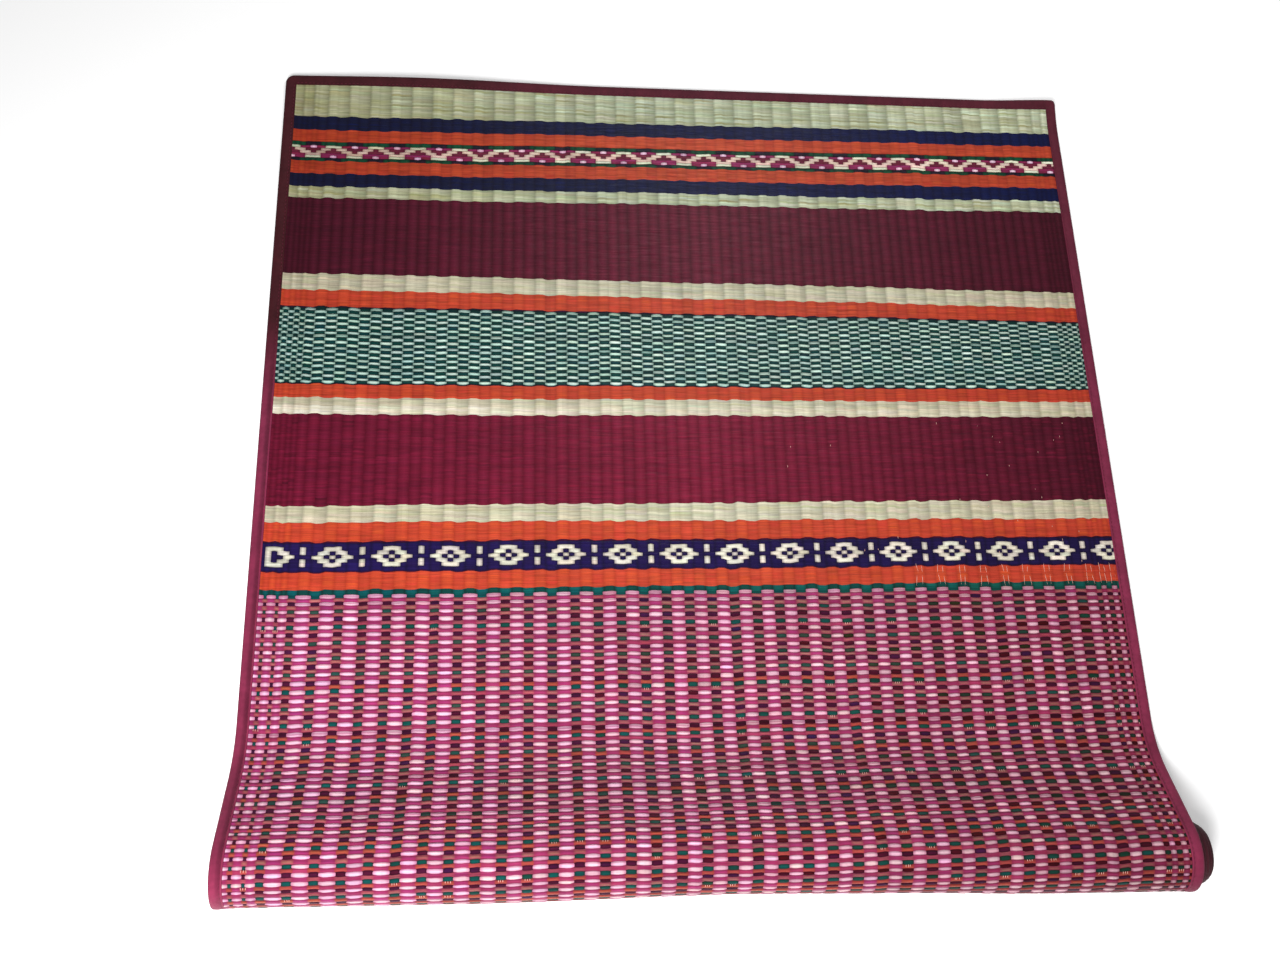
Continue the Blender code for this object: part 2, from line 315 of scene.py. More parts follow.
class Column(Enum):
    """The two kinds of warp column, whose wefts show by turns."""
    BRIGHT = "a"
    DARK = "b"


class Reach(Enum):
    """How far one float goes: as far as its dye, over one column, or over a bright column and the next."""
    RUN = 0
    COLUMN = 1
    PAIR = 2


@dataclass(frozen=True)
class WarpPlan:
    """Where the warps stand: wide columns of two gaps, and narrow ones of one gap along both sides."""
    gap: float = 4.85 * MM
    first_wide: float = -339.75 * MM
    wide_columns: int = 71
    left_odd: float = 8.45 * MM
    narrow_left: int = 6
    narrow_right: int = 6

    @cached_property
    def gaps(self) -> list[tuple[float, Column, int]]:
        """Width, kind and column number of each gap, left to right.

        Returns:
            Three values for each gap.
        """
        kinds = (Column.BRIGHT, Column.DARK)
        left = [(self.gap, kinds[(number + 1) % 2], number) for number in range(self.narrow_left)]
        odd = [(self.left_odd / 2, Column.DARK, self.narrow_left)] * 2
        start = self.narrow_left + 1
        wide = [(self.gap, kinds[number % 2], start + number)
                for number in range(self.wide_columns) for _ in range(2)]
        start += self.wide_columns
        right = [(self.gap, kinds[(number + 1) % 2], start + number) for number in range(self.narrow_right)]
        return left + odd + wide + right

    @cached_property
    def bounds(self) -> Array:
        """Places of the warps, one more than the gaps.

        Returns:
            The places, left to right.
        """
        widths = np.array([width for width, _, _ in self.gaps])
        start = self.first_wide - self.left_odd - self.narrow_left * self.gap
        return start + np.concatenate([[0], np.cumsum(widths)])

    @cached_property
    def bright(self) -> Array:
        """Whether each gap is in a bright column."""
        return np.array([kind is Column.BRIGHT for _, kind, _ in self.gaps])

    @cached_property
    def column(self) -> Array:
        """Column number of each gap."""
        return np.array([number for _, _, number in self.gaps])

    @cached_property
    def column_width(self) -> Array:
        """Width of the column that each gap is in."""
        widths = np.bincount(self.column, weights=np.diff(self.bounds))
        return widths[self.column]

    @cached_property
    def column_gaps(self) -> list[Array]:
        """Numbers of the gaps in each column."""
        return [np.flatnonzero(self.column == number) for number in range(self.column.max() + 1)]

    @property
    def first_wide_gap(self) -> int:
        """Number of the first gap of the first wide bright column."""
        return self.narrow_left + 2


@dataclass(frozen=True)
class Weft:
    """A bundle of dyed grass, and how its floats lie.

    Colours are red, green and blue from 0 to 255: middle is the float's and rim is its border's, which is
    partly the ends' own darker colour and partly painted shade where the float dips under the warps and meets
    the next rows. Where they are given, centre and right are the middle's at the mat's centre and right side,
    which carry both real changes of the dye and painted light and shade across the mat, and other is mixed
    into some of the floats. Spread is how far a float reaches past its last warp at the mat's left side, and
    right_spread at its right. Fatness is how far it pushes the rows beside it apart, pinch how far they close
    on its ends, crest how high it stands, fade how far its ends take the rim's colour, trail how much further
    its right end does, as a share of the float, which paints shade on its right side, banding how much of it
    its outer strands take, and rib how far its ends sink and how much painted shade they take.
    """
    middle: Colour
    rim: Colour
    centre: Colour | None = None
    right: Colour | None = None
    other: Colour | None = None
    spread: float = 0.0
    right_spread: float = 0.0
    fatness: float = 0.0
    pinch: float = 0.0
    crest: float = 0.20 * MM
    fade: float = 1.8 * MM
    trail: float = 0.0
    banding: float = 0.0
    rib: float = 0.3
    reach: Reach = Reach.COLUMN


class Dye(Enum):
    """Every weft that the mat is woven with."""
    # Cream bands: each float spans a bright column and the next, and its rim's colour trails to the right as
    # painted shade
    CREAM = Weft((165, 162, 125), (124, 121, 88), centre=(186, 196, 170), right=(202, 210, 183),
                 other=(154, 152, 106), trail=0.5, rib=0.45, reach=Reach.PAIR)
    PALE = Weft((190, 180, 156), (154, 148, 126), centre=(193, 189, 166), right=(200, 188, 163),
                other=(178, 176, 142), trail=0.5, rib=0.45, reach=Reach.PAIR)
    MILK = Weft((219, 211, 193), (186, 178, 158), centre=(206, 200, 177), right=(190, 182, 154), trail=0.4,
                rib=0.45, reach=Reach.PAIR)
    NAVY = Weft((18, 21, 48), (12, 10, 34), right=(12, 19, 64), fade=3.4 * MM, rib=0.12)
    # The far rusts differ from the near ones, darker at the left and lighter at the centre and right, partly
    # as painted light and shade
    FAR_RUST = Weft((165, 56, 30), (150, 48, 26), centre=(187, 75, 47), right=(181, 67, 43),
                    other=(168, 64, 30), fade=3 * MM, rib=0.08)
    FAR_RUST_SHADE = Weft((162, 54, 30), (146, 46, 26), centre=(183, 72, 45), right=(177, 64, 41),
                          other=(158, 48, 32), fade=3 * MM, rib=0.08)
    RUST = Weft((181, 63, 39), (164, 52, 31), centre=(174, 66, 43), right=(175, 60, 40),
                other=(186, 72, 38), fade=3 * MM, rib=0.08)
    RUST_SHADE = Weft((177, 61, 39), (160, 50, 30), centre=(170, 63, 42), right=(171, 58, 40),
                      other=(178, 56, 42), fade=3 * MM, rib=0.08)
    # The wines' lighter middles and dark rims over a wide fade paint each column's highlight and shade
    WINE = Weft((72, 17, 35), (45, 4, 16), centre=(95, 22, 44), right=(70, 16, 33), fade=4.2 * MM, rib=0.2)
    RED_WINE = Weft((105, 20, 46), (78, 7, 28), centre=(114, 26, 50), right=(67, 14, 31), fade=4.2 * MM,
                    rib=0.2)
    PINE = Weft((10, 66, 42), (8, 34, 24), other=(20, 56, 44), rib=0.1)
    LINE_DARK = Weft((22, 24, 34), (14, 13, 22), other=(48, 18, 44), rib=0.1)
    LINE_GREEN = Weft((12, 60, 58), (8, 36, 34), right=(14, 58, 52), rib=0.15)
    LINE_TEAL = Weft((7, 76, 80), (6, 48, 50), right=(16, 78, 68), rib=0.15)
    LINE_WINE = Weft((58, 12, 40), (40, 10, 30), crest=0.05 * MM)
    INDIGO = Weft((29, 18, 70), (20, 12, 48), right=(26, 16, 56), other=(28, 18, 58), crest=0.08 * MM,
                  rib=0.1)
    MOTIF_WHITE = Weft((194, 191, 177), (112, 102, 106), right=(222, 214, 196), other=(200, 192, 168),
                       fatness=0.05 * MM, pinch=0.6 * MM, crest=0.30 * MM, fade=1.4 * MM, reach=Reach.RUN)
    ZIGZAG_CREAM = Weft((174, 172, 146), (140, 130, 100), centre=(218, 222, 200), right=(236, 238, 214),
                        pinch=0.2 * MM, crest=0.26 * MM, fade=1.0 * MM, reach=Reach.RUN)
    ZIGZAG_PEACH = Weft((176, 150, 134), (150, 104, 96), centre=(220, 196, 180), right=(240, 220, 202),
                        pinch=0.2 * MM, crest=0.24 * MM, fade=1.0 * MM, reach=Reach.RUN)
    ZIGZAG_PINK = Weft((122, 32, 76), (92, 22, 54), centre=(140, 42, 90), right=(136, 38, 86),
                       other=(124, 30, 54), crest=0.14 * MM, reach=Reach.RUN)
    ZIGZAG_WINE = Weft((106, 32, 54), (80, 22, 40), crest=0.10 * MM, reach=Reach.RUN)
    ZIGZAG_DOT = Weft((216, 178, 198), (180, 110, 150), right=(240, 218, 228), spread=0.5 * MM,
                      right_spread=0.5 * MM, fatness=0.35 * MM, pinch=0.2 * MM, crest=0.30 * MM)
    CHECK_CREAM = Weft((180, 206, 192), (70, 104, 96), centre=(198, 220, 206), right=(193, 212, 196),
                       other=(142, 178, 172), spread=0.4 * MM, right_spread=0.4 * MM, pinch=0.9 * MM,
                       crest=0.34 * MM, fade=2.4 * MM, banding=0.12)
    # Its banding darkens the outer strands, partly as painted shadow below the cream floats
    CHECK_GREEN = Weft((6, 54, 50), (3, 32, 32), other=(8, 50, 60), fatness=0.08 * MM, crest=0.02 * MM,
                       banding=0.35)
    WHITE = Weft((214, 170, 194), (168, 90, 128), right=(192, 147, 158), other=(218, 188, 186),
                 spread=1.5 * MM, right_spread=-0.2 * MM, fatness=0.08 * MM, pinch=0.7 * MM, crest=0.34 * MM,
                 fade=2.6 * MM)
    MAGENTA = Weft((150, 46, 108), (132, 40, 74), centre=(146, 46, 99), right=(125, 35, 71),
                   other=(144, 48, 84), spread=0.3 * MM, crest=0.16 * MM, fade=3.6 * MM, banding=0.35,
                   rib=0.1)
    SALMON = Weft((151, 96, 84), (134, 42, 70), centre=(142, 98, 86), right=(137, 86, 75),
                  other=(142, 56, 66), fade=2.4 * MM, banding=0.6, rib=0.1)
    ORANGE = Weft((154, 76, 52), (136, 48, 56), right=(146, 62, 45), other=(148, 64, 56), crest=0.22 * MM,
                  fade=2.4 * MM, banding=0.4, rib=0.1)
    GREEN = Weft((44, 64, 56), (28, 36, 36), right=(34, 33, 15), other=(18, 66, 62), fatness=0.12 * MM,
                 crest=0.02 * MM)
    TEAL = Weft((10, 72, 70), (18, 38, 38), right=(18, 54, 42), fatness=0.16 * MM, crest=0.04 * MM)
    PLUM = Weft((66, 15, 40), (46, 9, 32), right=(60, 6, 13), other=(42, 18, 60), fatness=0.12 * MM,
                crest=0.02 * MM)


DYES = list(Dye)


@dataclass(frozen=True)
class WeftRow:
    """One row of wefts: its length along the mat and the dye that shows in each gap, above and below."""
    height: float
    dyes: Array
    under: Array
    brick: bool


@dataclass(frozen=True)
class ColumnBand:
    """A band whose rows follow the columns: pairs of a bright column's dye and a dark column's, by turns."""
    near_y: float
    pairs: tuple[tuple[Dye, Dye], ...]
    rows: int | None = None
    strand: float = 1.9 * MM
    brick: bool = True

    def row_dyes(self, plan: WarpPlan, height: float) -> list[tuple[Array, Array]]:
        """Dyes of each row, above and below.

        Args:
            plan: The columns.
            height: The band's length along the mat, which is filled with strands where no rows are counted.

        Returns:
            For each row, the dye numbers in each gap on the upper face and on the underside.
        """
        found = []
        for number in range(self.rows or round(height / self.strand)):
            bright, dark = (DYES.index(dye) for dye in self.pairs[number % len(self.pairs)])
            upper = np.where(plan.bright, bright, dark)
            found.append((upper, bright + dark - upper))
        return found


@dataclass(frozen=True)
class ChartBand:
    """A band with a small motif, charted as a letter for each gap, repeated across the mat."""
    near_y: float
    chart: tuple[str, ...]
    legend: tuple[tuple[str, Dye], ...]
    start_gap: int
    edge_chart: tuple[str, ...] = ()
    edge_gap: int = 0
    brick: bool = False

    def row_dyes(self, plan: WarpPlan, height: float) -> list[tuple[Array, Array]]:
        """Dyes of each row, above and below.

        Args:
            plan: The columns.
            height: The band's length along the mat, which the chart's rows fill whatever it is.

        Returns:
            For each row, the dye numbers in each gap on the upper face and on the underside.
        """
        numbers = {letter: DYES.index(dye) for letter, dye in self.legend}
        ground = DYES.index(self.legend[0][1])
        count = len(plan.bright)
        found = []
        for row, line in enumerate(self.chart):
            first = plan.first_wide_gap + self.start_gap
            letters = [line[(gap - first) % len(line)] for gap in range(count)]
            if self.edge_chart:
                edge = self.edge_chart[row]
                start = plan.first_wide_gap + self.edge_gap
                letters[:start + len(edge)] = [edge[0]] * start + list(edge)
            upper = np.array([numbers[letter] for letter in letters])
            found.append((upper, np.full(count, ground)))
        return found


def plain(near_y: float, bright: Dye, dark: Dye | None = None, rows: int | None = None) -> ColumnBand:
    """Band of one colour, from Y of its near edge in millimetres; dark columns may have their own dye."""
    return ColumnBand(near_y * MM, ((bright, dark or bright),), rows)


ZIGZAG_TOP = ("dgggggdd",) * 2
ZIGZAG = (
    "mmCCCmmw",
    "rpprpprr",
    "pprrrppr",
    "pmmmmmpp",
    "CmmwmmCC",
)
ZIGZAG_FOOT = ("ggdddggg",) * 2
DIAMOND = (
    "..........",
    "...###...#",
    "..##.##..#",
    ".##.#.##..",
    "..##.##..#",
    "...###...#",
    "..........",
)
HALF_DIAMOND = (".......", ".###...", ".#.##..", ".#..##.", ".#.##..", ".###...", ".......")


@dataclass(frozen=True)
class WeaveDraft:
    """The order of the bands, from the far edge to the hidden near end."""
    plan: WarpPlan = WarpPlan()
    far_y: float = 386.7 * MM
    body_pair: float = 6.38 * MM
    white_share: float = 0.51
    share_spread: float = 0.06
    unevenness: float = 0.10
    # Pairs of rows in the body, counted from its far end, where a brighter weft takes the usual one's place
    teal_pairs: tuple[int, ...] = (4, 12, 16, 18, 24, 32, 34, 36, 38)
    orange_pairs: tuple[int, ...] = (11, 17, 20, 25, 29, 31, 32, 34, 36, 38, 39, 40)
    seed: int = 11

    @cached_property
    def bands(self) -> list[ColumnBand | ChartBand]:
        """Every band before the body.

        Returns:
            The bands, far end first.
        """
        zigzag_legend = (
            ("m", Dye.ZIGZAG_PINK), ("C", Dye.ZIGZAG_CREAM), ("p", Dye.ZIGZAG_PEACH), ("r", Dye.ZIGZAG_WINE),
            ("w", Dye.ZIGZAG_DOT), ("d", Dye.LINE_DARK), ("g", Dye.PINE),
        )
        diamond_legend = ((".", Dye.INDIGO), ("#", Dye.MOTIF_WHITE))
        check_pairs = ((Dye.CHECK_GREEN, Dye.CHECK_CREAM), (Dye.CHECK_CREAM, Dye.CHECK_GREEN))
        return [
            plain(348.0, Dye.CREAM),
            plain(333.4, Dye.NAVY),
            plain(320.7, Dye.FAR_RUST, Dye.FAR_RUST_SHADE),
            ChartBand(316.7 * MM, ZIGZAG_TOP, zigzag_legend, start_gap=-2),
            ChartBand(303.3 * MM, ZIGZAG, zigzag_legend, start_gap=-2),
            ChartBand(299.6 * MM, ZIGZAG_FOOT, zigzag_legend, start_gap=-2),
            plain(286.2, Dye.FAR_RUST, Dye.FAR_RUST_SHADE),
            plain(272.1, Dye.NAVY),
            plain(260.0, Dye.CREAM),
            plain(178.8, Dye.WINE),
            plain(162.7, Dye.PALE),
            plain(147.4, Dye.RUST, Dye.RUST_SHADE),
            plain(146.4, Dye.LINE_DARK, rows=1),
            ColumnBand(76.2 * MM, check_pairs, rows=25, brick=False),
            plain(75.2, Dye.LINE_DARK, rows=1),
            plain(62.9, Dye.RUST, Dye.RUST_SHADE),
            plain(55.5, Dye.PALE),
            plain(47.9, Dye.MILK),
            plain(-32.6, Dye.RED_WINE),
            plain(-48.4, Dye.PALE),
            plain(-64.8, Dye.RUST, Dye.RUST_SHADE),
            plain(-65.8, Dye.LINE_WINE, rows=1),
            ChartBand(-90.0 * MM, DIAMOND, diamond_legend, start_gap=1, edge_chart=HALF_DIAMOND, edge_gap=-7),
            plain(-91.0, Dye.LINE_WINE, rows=1),
            plain(-105.7, Dye.RUST, Dye.RUST_SHADE),
            plain(-109.6, Dye.LINE_GREEN, Dye.LINE_TEAL, rows=2),
        ]

    def rows(self, near_y: float) -> list[WeftRow]:
        """Every row down to a place on the mat.

        Args:
            near_y: Y, measured along the laid-out mat, where the rows may end.

        Returns:
            The rows, far end first.
        """
        random = np.random.default_rng(self.seed)
        found = []
        far = self.far_y
        for band in self.bands:
            height = far - band.near_y
            dyes = band.row_dyes(self.plan, height)
            weights = 1 + self.unevenness * random.uniform(-1, 1, len(dyes)) * (not band.brick)
            heights = height * weights / weights.sum()
            found += [WeftRow(row_height, *row, band.brick) for row_height, row in zip(heights, dyes)]
            far = band.near_y
        number = 0
        while far > near_y:
            height = self.body_pair * (1 + self.unevenness * random.uniform(-1, 1))
            white = self.white_share + self.share_spread * random.uniform(-1, 1)
            pair = ColumnBand(far - height, self.body_rows(number), rows=2, brick=False)
            for share, row in zip((white, 1 - white), pair.row_dyes(self.plan, height)):
                found.append(WeftRow(height * share, *row, pair.brick))
            number += 1
            far -= height
        return found

    def body_rows(self, number: int) -> tuple[tuple[Dye, Dye], ...]:
        """Dyes of one pair of rows of the body, in the bright and the dark columns.

        Args:
            number: The pair's number, counted from the body's far end.

        Returns:
            For each of its two rows, the bright columns' dye and the dark columns'.
        """
        dark = Dye.PLUM if number % 2 else Dye.GREEN
        light = Dye.ORANGE if number in self.orange_pairs else Dye.SALMON
        if number in self.teal_pairs:
            dark = Dye.TEAL
        if number == 0:
            dark = Dye.LINE_TEAL
        return (Dye.WHITE, dark), (Dye.MAGENTA, light)


def weft_values(name: str, dyes: Array) -> Array:
    """A value of the weft that shows in each gap."""
    return np.array([getattr(dye.value, name) for dye in DYES])[dyes]


def weft_colours(name: str, dyes: Array) -> Array:
    """A colour, in linear light, of the weft that shows in each gap."""
    return np.array([linear(getattr(dye.value, name) or dye.value.middle) for dye in DYES])[dyes]


@dataclass
class WeaveLines:
    """Lines across the mat, stacked far end first: where they run, and the colours between them."""
    across: Array
    y: Array
    relief: Array
    # Share of painted shade at each point
    painted_shade: Array
    colours: Array
    under_colours: Array
    row_start: Array


@dataclass(frozen=True)
class RowShape:
    """How one row lies and looks: point by point across the mat, and its colours gap by gap."""
    shift: Array
    fatness: Array
    crest: Array
    # Share of painted shade where the floats' ends sink
    sunk: Array
    fading: Array
    middle: Array
    rim: Array
    banding: Array
    line_tones: Array
    edge: float
    split: float


@dataclass
class Streaks:
    """Slowly changing tones of the columns and gaps, row after row."""
    random: np.random.Generator
    gap_column: Array
    keep: float = 0.985
    spread: float = 0.03
    columns: Array = field(init=False)
    gaps: Array = field(init=False)

    def __post_init__(self) -> None:
        """Start with a tone for each column and gap."""
        self.columns = self.spread * self.random.standard_normal(self.gap_column.max() + 1)
        self.gaps = self.spread * self.random.standard_normal(len(self.gap_column))

    def next_row(self) -> Array:
        """Tone of each gap in the next row, as a factor.

        Returns:
            One factor for each gap.
        """
        fresh = self.spread * math.sqrt(1 - self.keep ** 2)
        self.columns = self.keep * self.columns + fresh * self.random.standard_normal(len(self.columns))
        self.gaps = self.keep * self.gaps + fresh * self.random.standard_normal(len(self.gaps))
        return 1 + self.columns[self.gap_column] + self.gaps


@dataclass(frozen=True)
class WeaveSurface:
    """Turns the draft's rows into lines of points with relief and colour."""
    draft: WeaveDraft
    valley: float = 0.38 * MM
    brick_valley: float = 0.08 * MM
    end_dip: float = 0.9 * MM
    end_run: float = 1.8 * MM
    crease: float = 1.0
    fat_run: float = 3.4 * MM
    follow: float = 0.35
    widest_spread: float = 0.25
    float_shares: tuple[float, ...] = (0.0, 0.2, 0.5, 0.8)
    brick_shares: tuple[float, ...] = (0.0, 0.5)
    scallop: float = 0.45 * MM
    wobble: float = 0.16 * MM
    joined: float = 0.85
    # Share of the rim's colour at the rows' edges, which paints the shade between rows
    float_edge: float = 0.8
    brick_edge: float = 0.2
    tone_spread: float = 0.055
    brick_tone_spread: float = 0.03
    tint_spread: float = 0.025
    line_spread: float = 0.07
    brick_line_spread: float = 0.05
    other_spread: float = 0.26
    drift_spread: float = 0.2
    crest_spread: float = 0.05 * MM
    row_tone_share: float = 0.7
    split_share: float = 0.12
    split_depth: float = 0.7
    split_sink: float = 0.5
    roundness: float = 2.5
    sunk_shade: float = 0.8
    brick_shade: float = 0.2
    edge_power: int = 3
    fading_share: float = 0.75
    # Outer strands of a float, which take the rim's colour, partly as painted shade: nearest and farthest
    # from its middle
    banded: tuple[float, float] = (0.3, 0.9)
    # Slow waves of the rows: height, radians for each metre across and along, and where they start
    waves: tuple[tuple[float, float, float, float], ...] = (
        (0.25 * MM, 19, 31, 0.0), (0.2 * MM, 53, -17, 1.7),
    )
    # Rows that run out of square: Y, then millimetres towards +Y for each metre to the right
    tilt: tuple[tuple[float, float], ...] = (
        (-380 * MM, 0.0), (-200 * MM, 1.0), (-110 * MM, 0.6), (-48 * MM, 0.5), (-32 * MM, 5.0),
        (48 * MM, 1.0), (76 * MM, 0.0), (112 * MM, -2.0), (147 * MM, -7.0), (163 * MM, -9.5),
        (180 * MM, -9.0), (260.6 * MM, 5.0), (287 * MM, 7.0), (349 * MM, 8.9), (382 * MM, 0.0),
        (400 * MM, 0.0),
    )
    # Painted shade towards the near end, over the roll's front: Y, then a factor on the dyes
    roll_front_shade: tuple[tuple[float, float], ...] = ((-350 * MM, 0.8), (-320 * MM, 1.0))
    seed: int = 23

    @cached_property
    def nominal(self) -> Array:
        """Places of the points across the mat: the warps and the middles between them.

        Returns:
            The places, left to right.
        """
        bounds = self.draft.plan.bounds
        places = np.repeat(bounds, 2)[:-1]
        places[1::2] = (bounds[1:] + bounds[:-1]) / 2
        return places

    @cached_property
    def brick_phase(self) -> Array:
        """How far out of step the plain bands' strands are at each point: from 0, bright, to 1, dark."""
        return 1 - self.at_points(self.draft.plan.bright.astype(float))

    def run_ends(self, dyes: Array) -> Array:
        """Whether a float ends at each warp.

        Args:
            dyes: Dye number in each gap.

        Returns:
            True at each warp where one does.
        """
        plan = self.draft.plan
        reach = weft_values("reach", dyes)
        inside_run = (reach[1:] == Reach.RUN) | (reach[:-1] == Reach.RUN)
        inside_pair = (reach[1:] == Reach.PAIR) & ~plan.bright[1:]
        columns = (plan.column[1:] != plan.column[:-1]) & ~inside_run & ~inside_pair
        return np.concatenate([[True], columns | (dyes[1:] != dyes[:-1]), [True]])

    def end_distances(self, ends: Array, across: Array) -> tuple[Array, Array]:
        """Distance from each point of a line to the left and the right end of its float.

        Args:
            ends: Whether a float ends at each warp.
            across: Places of the line's points.

        Returns:
            The distances to the left, and those to the right.
        """
        places = across[::2][ends]
        index = np.clip(np.searchsorted(places, across), 1, len(places) - 1)
        return np.abs(across - places[index - 1]), np.abs(across - places[index])

    def at_points(self, values: Array) -> Array:
        """A value of each gap, read at the warps and the middles between them.

        Args:
            values: One value for each gap.

        Returns:
            One value for each point.
        """
        points = np.empty(2 * len(values) + 1)
        points[1::2] = values
        points[0], points[-1] = values[0], values[-1]
        points[2:-1:2] = (values[1:] + values[:-1]) / 2
        return points

    def shifts(self, spread: Array, ends: Array) -> Array:
        """How far each point of a line moves across, so that wide floats reach past their warps.

        Args:
            spread: How far the float in each gap reaches past its last warp.
            ends: Whether a float ends at each warp.

        Returns:
            The move of each point.
        """
        warps = np.zeros(len(ends))
        warps[1:-1] = np.where(ends[1:-1], spread[:-1] - spread[1:], 0.0)
        points = np.zeros(2 * len(ends) - 1)
        points[::2] = warps
        points[1::2] = self.follow * (warps[1:] + warps[:-1])
        return points

    def row_shape(self, row: WeftRow, streak: Array, random: np.random.Generator) -> RowShape:
        """Work out how one row lies and looks.

        Args:
            row: The row.
            streak: Tone of each gap.
            random: Source of its small differences.

        Returns:
            The row's shape.
        """
        ends = self.run_ends(row.dyes)
        run = np.cumsum(ends[:-1])
        runs = run[-1] + 1
        from_left, from_right = self.end_distances(ends, self.nominal)
        distance = np.minimum(from_left, from_right)
        side = (self.nominal[1::2] - self.nominal[0]) / (self.nominal[-1] - self.nominal[0])
        spread = blend(weft_values("spread", row.dyes), weft_values("right_spread", row.dyes), side)
        spread = np.minimum(spread, self.widest_spread * self.draft.plan.column_width)
        fatness = blend(-self.at_points(weft_values("pinch", row.dyes)),
                        self.at_points(weft_values("fatness", row.dyes)), ease(distance / self.fat_run))
        rise = ease(distance / self.end_run)
        columns = self.draft.plan.column
        rise[2:-1:2] -= self.crease * (columns[1:] != columns[:-1]) * ~ends[1:-1]
        rib = self.at_points(weft_values("rib", row.dyes))
        crest = weft_values("crest", row.dyes) + self.crest_spread * random.standard_normal(runs)[run]
        crest = self.at_points(crest) - self.end_dip * rib * (1 - rise)

        middle, rim = self.row_colours(row, run, side, streak, random)
        line_spread = self.brick_line_spread if row.brick else self.line_spread
        fade = self.at_points(weft_values("fade", row.dyes))
        trail = self.at_points(weft_values("trail", row.dyes)) * (from_left + from_right)
        return RowShape(
            shift=self.shifts(spread, ends),
            fatness=fatness * (not row.brick),
            crest=crest,
            sunk=self.sunk_shade * rib * (1 - rise),
            fading=1 - ease(np.minimum(from_left / fade, from_right / (fade + trail))),
            middle=middle,
            rim=rim,
            banding=weft_values("banding", row.dyes),
            line_tones=1 + line_spread * random.standard_normal(len(self.float_shares) + 1),
            edge=self.brick_edge if row.brick else self.float_edge,
            split=self.split_depth * (random.random() < self.split_share and not row.brick),
        )

    def row_colours(self, row: WeftRow, run: Array, side: Array, streak: Array,
                    random: np.random.Generator) -> tuple[Array, Array]:
        """Work out the colours of one row's floats.

        Args:
            row: The row.
            run: Number of the float in each gap.
            side: Place of each gap across the mat, from 0 at its left to 1.
            streak: Tone of each gap.
            random: Source of its small differences.

        Returns:
            Colours of the float's middle and of its rim, in each gap.
        """
        runs = run[-1] + 1
        tone_spread = self.brick_tone_spread if row.brick else self.tone_spread
        tone = streak * (1 + tone_spread * random.standard_normal(runs)[run])
        tone *= 1 + self.row_tone_share * tone_spread * random.standard_normal()
        tint = tone[:, None] * (1 + self.tint_spread * random.standard_normal((runs, 3))[run])
        drift = np.clip(side + self.drift_spread * random.standard_normal(runs)[run], 0, 1)[:, None]
        middle = blend(weft_colours("middle", row.dyes), weft_colours("right", row.dyes), drift)
        has_centre = np.array([dye.value.centre is not None for dye in DYES])[row.dyes]
        central = has_centre * (1 - abs(2 * side - 1))
        middle = blend(middle, weft_colours("centre", row.dyes), central[:, None])
        rim = weft_colours("rim", row.dyes) * middle / weft_colours("middle", row.dyes)
        mix = self.other_spread * (abs(random.standard_normal()) + random.standard_normal(runs)[run])
        has_other = np.array([dye.value.other is not None for dye in DYES])[row.dyes]
        mix = (np.clip(mix, 0, 1) * has_other)[:, None]
        middle = blend(middle, weft_colours("other", row.dyes), mix)
        return middle * tint, rim * tint

    def build(self, near_y: float) -> WeaveLines:
        """Work out every line down to a place on the mat.

        Args:
            near_y: Y, measured along the laid-out mat, where the lines may end.

        Returns:
            The lines, with colours for the four corners of each cell between them.
        """
        random = np.random.default_rng(self.seed)
        rows = self.draft.rows(near_y)
        streaks = Streaks(random, self.draft.plan.column)
        tops = self.draft.far_y - np.concatenate([[0], np.cumsum([row.height for row in rows])])
        # Painted shade over the roll's front darkens the dyes there
        shapes = [self.row_shape(row, roll_shade * streaks.next_row(), random)
                  for row, roll_shade in zip(rows, soft_table(self.roll_front_shade, tops))]
        edges = self.row_edges(rows, shapes, tops, random)
        none = np.zeros(len(self.draft.plan.bright))
        same = [(first.dyes == second.dyes).astype(float) for first, second in zip(rows, rows[1:])]
        same = [none, *same, none]

        across, y, relief, painted_shade, colours, row_start = [], [], [], [], [], []
        for number, (row, shape) in enumerate(zip(rows, shapes)):
            before = shapes[max(number - 1, 0)]
            shares = self.brick_shares if row.brick else self.float_shares
            row_start.append(len(y))
            colours.extend(self.corner_colours(shape, shares, same[number], same[number + 1]))
            for share in shares:
                shift = (shape.shift + before.shift) / 2 if share == 0.0 else shape.shift
                across.append(self.nominal + shift)
                y.append(blend(edges[number], edges[number + 1], share))
                height, dark = self.line_relief(row, shape, before, share, same[number])
                relief.append(height)
                painted_shade.append(np.clip(dark, 0, 1))
        across = np.array([*across, self.nominal])
        y = np.array([*y, edges[-1]])
        relief = np.array([*relief, np.full_like(self.nominal, -self.valley)])
        painted_shade = np.array([*painted_shade, np.ones_like(self.nominal)])

        waves = sum(height * np.sin(across * over + y * down + start)
                    for height, over, down, start in self.waves)
        y = y + across * soft_table(self.tilt, y) * MM + waves
        under = np.array([weft_colours("middle", row.under) for row in rows])
        return WeaveLines(across, y, relief, painted_shade, np.array(colours), under, np.array(row_start))

    def row_edges(self, rows: list[WeftRow], shapes: list[RowShape], tops: Array,
                  random: np.random.Generator) -> Array:
        """Y of the rows' edges, point by point across the mat.

        Args:
            rows: The rows.
            shapes: How each lies.
            tops: Y of their edges before floats push them apart.
            random: Source of their wobble.

        Returns:
            A line of points for each edge, far end first.
        """
        edges = np.repeat(tops[:, None], len(self.nominal), axis=1)
        fatness = np.array([shape.fatness for shape in shapes])
        edges[:-1] += fatness
        edges[1:] -= fatness
        bricks = np.array([row.brick for row in rows])
        edges[:-1] += self.scallop * (1 - 2 * self.brick_phase) * bricks[:, None]
        wobble = Streaks(random, self.draft.plan.column, spread=self.wobble)
        edges += np.array([self.at_points(wobble.next_row() - 1) for _ in edges])
        edges[-1] = tops[-1]
        return edges

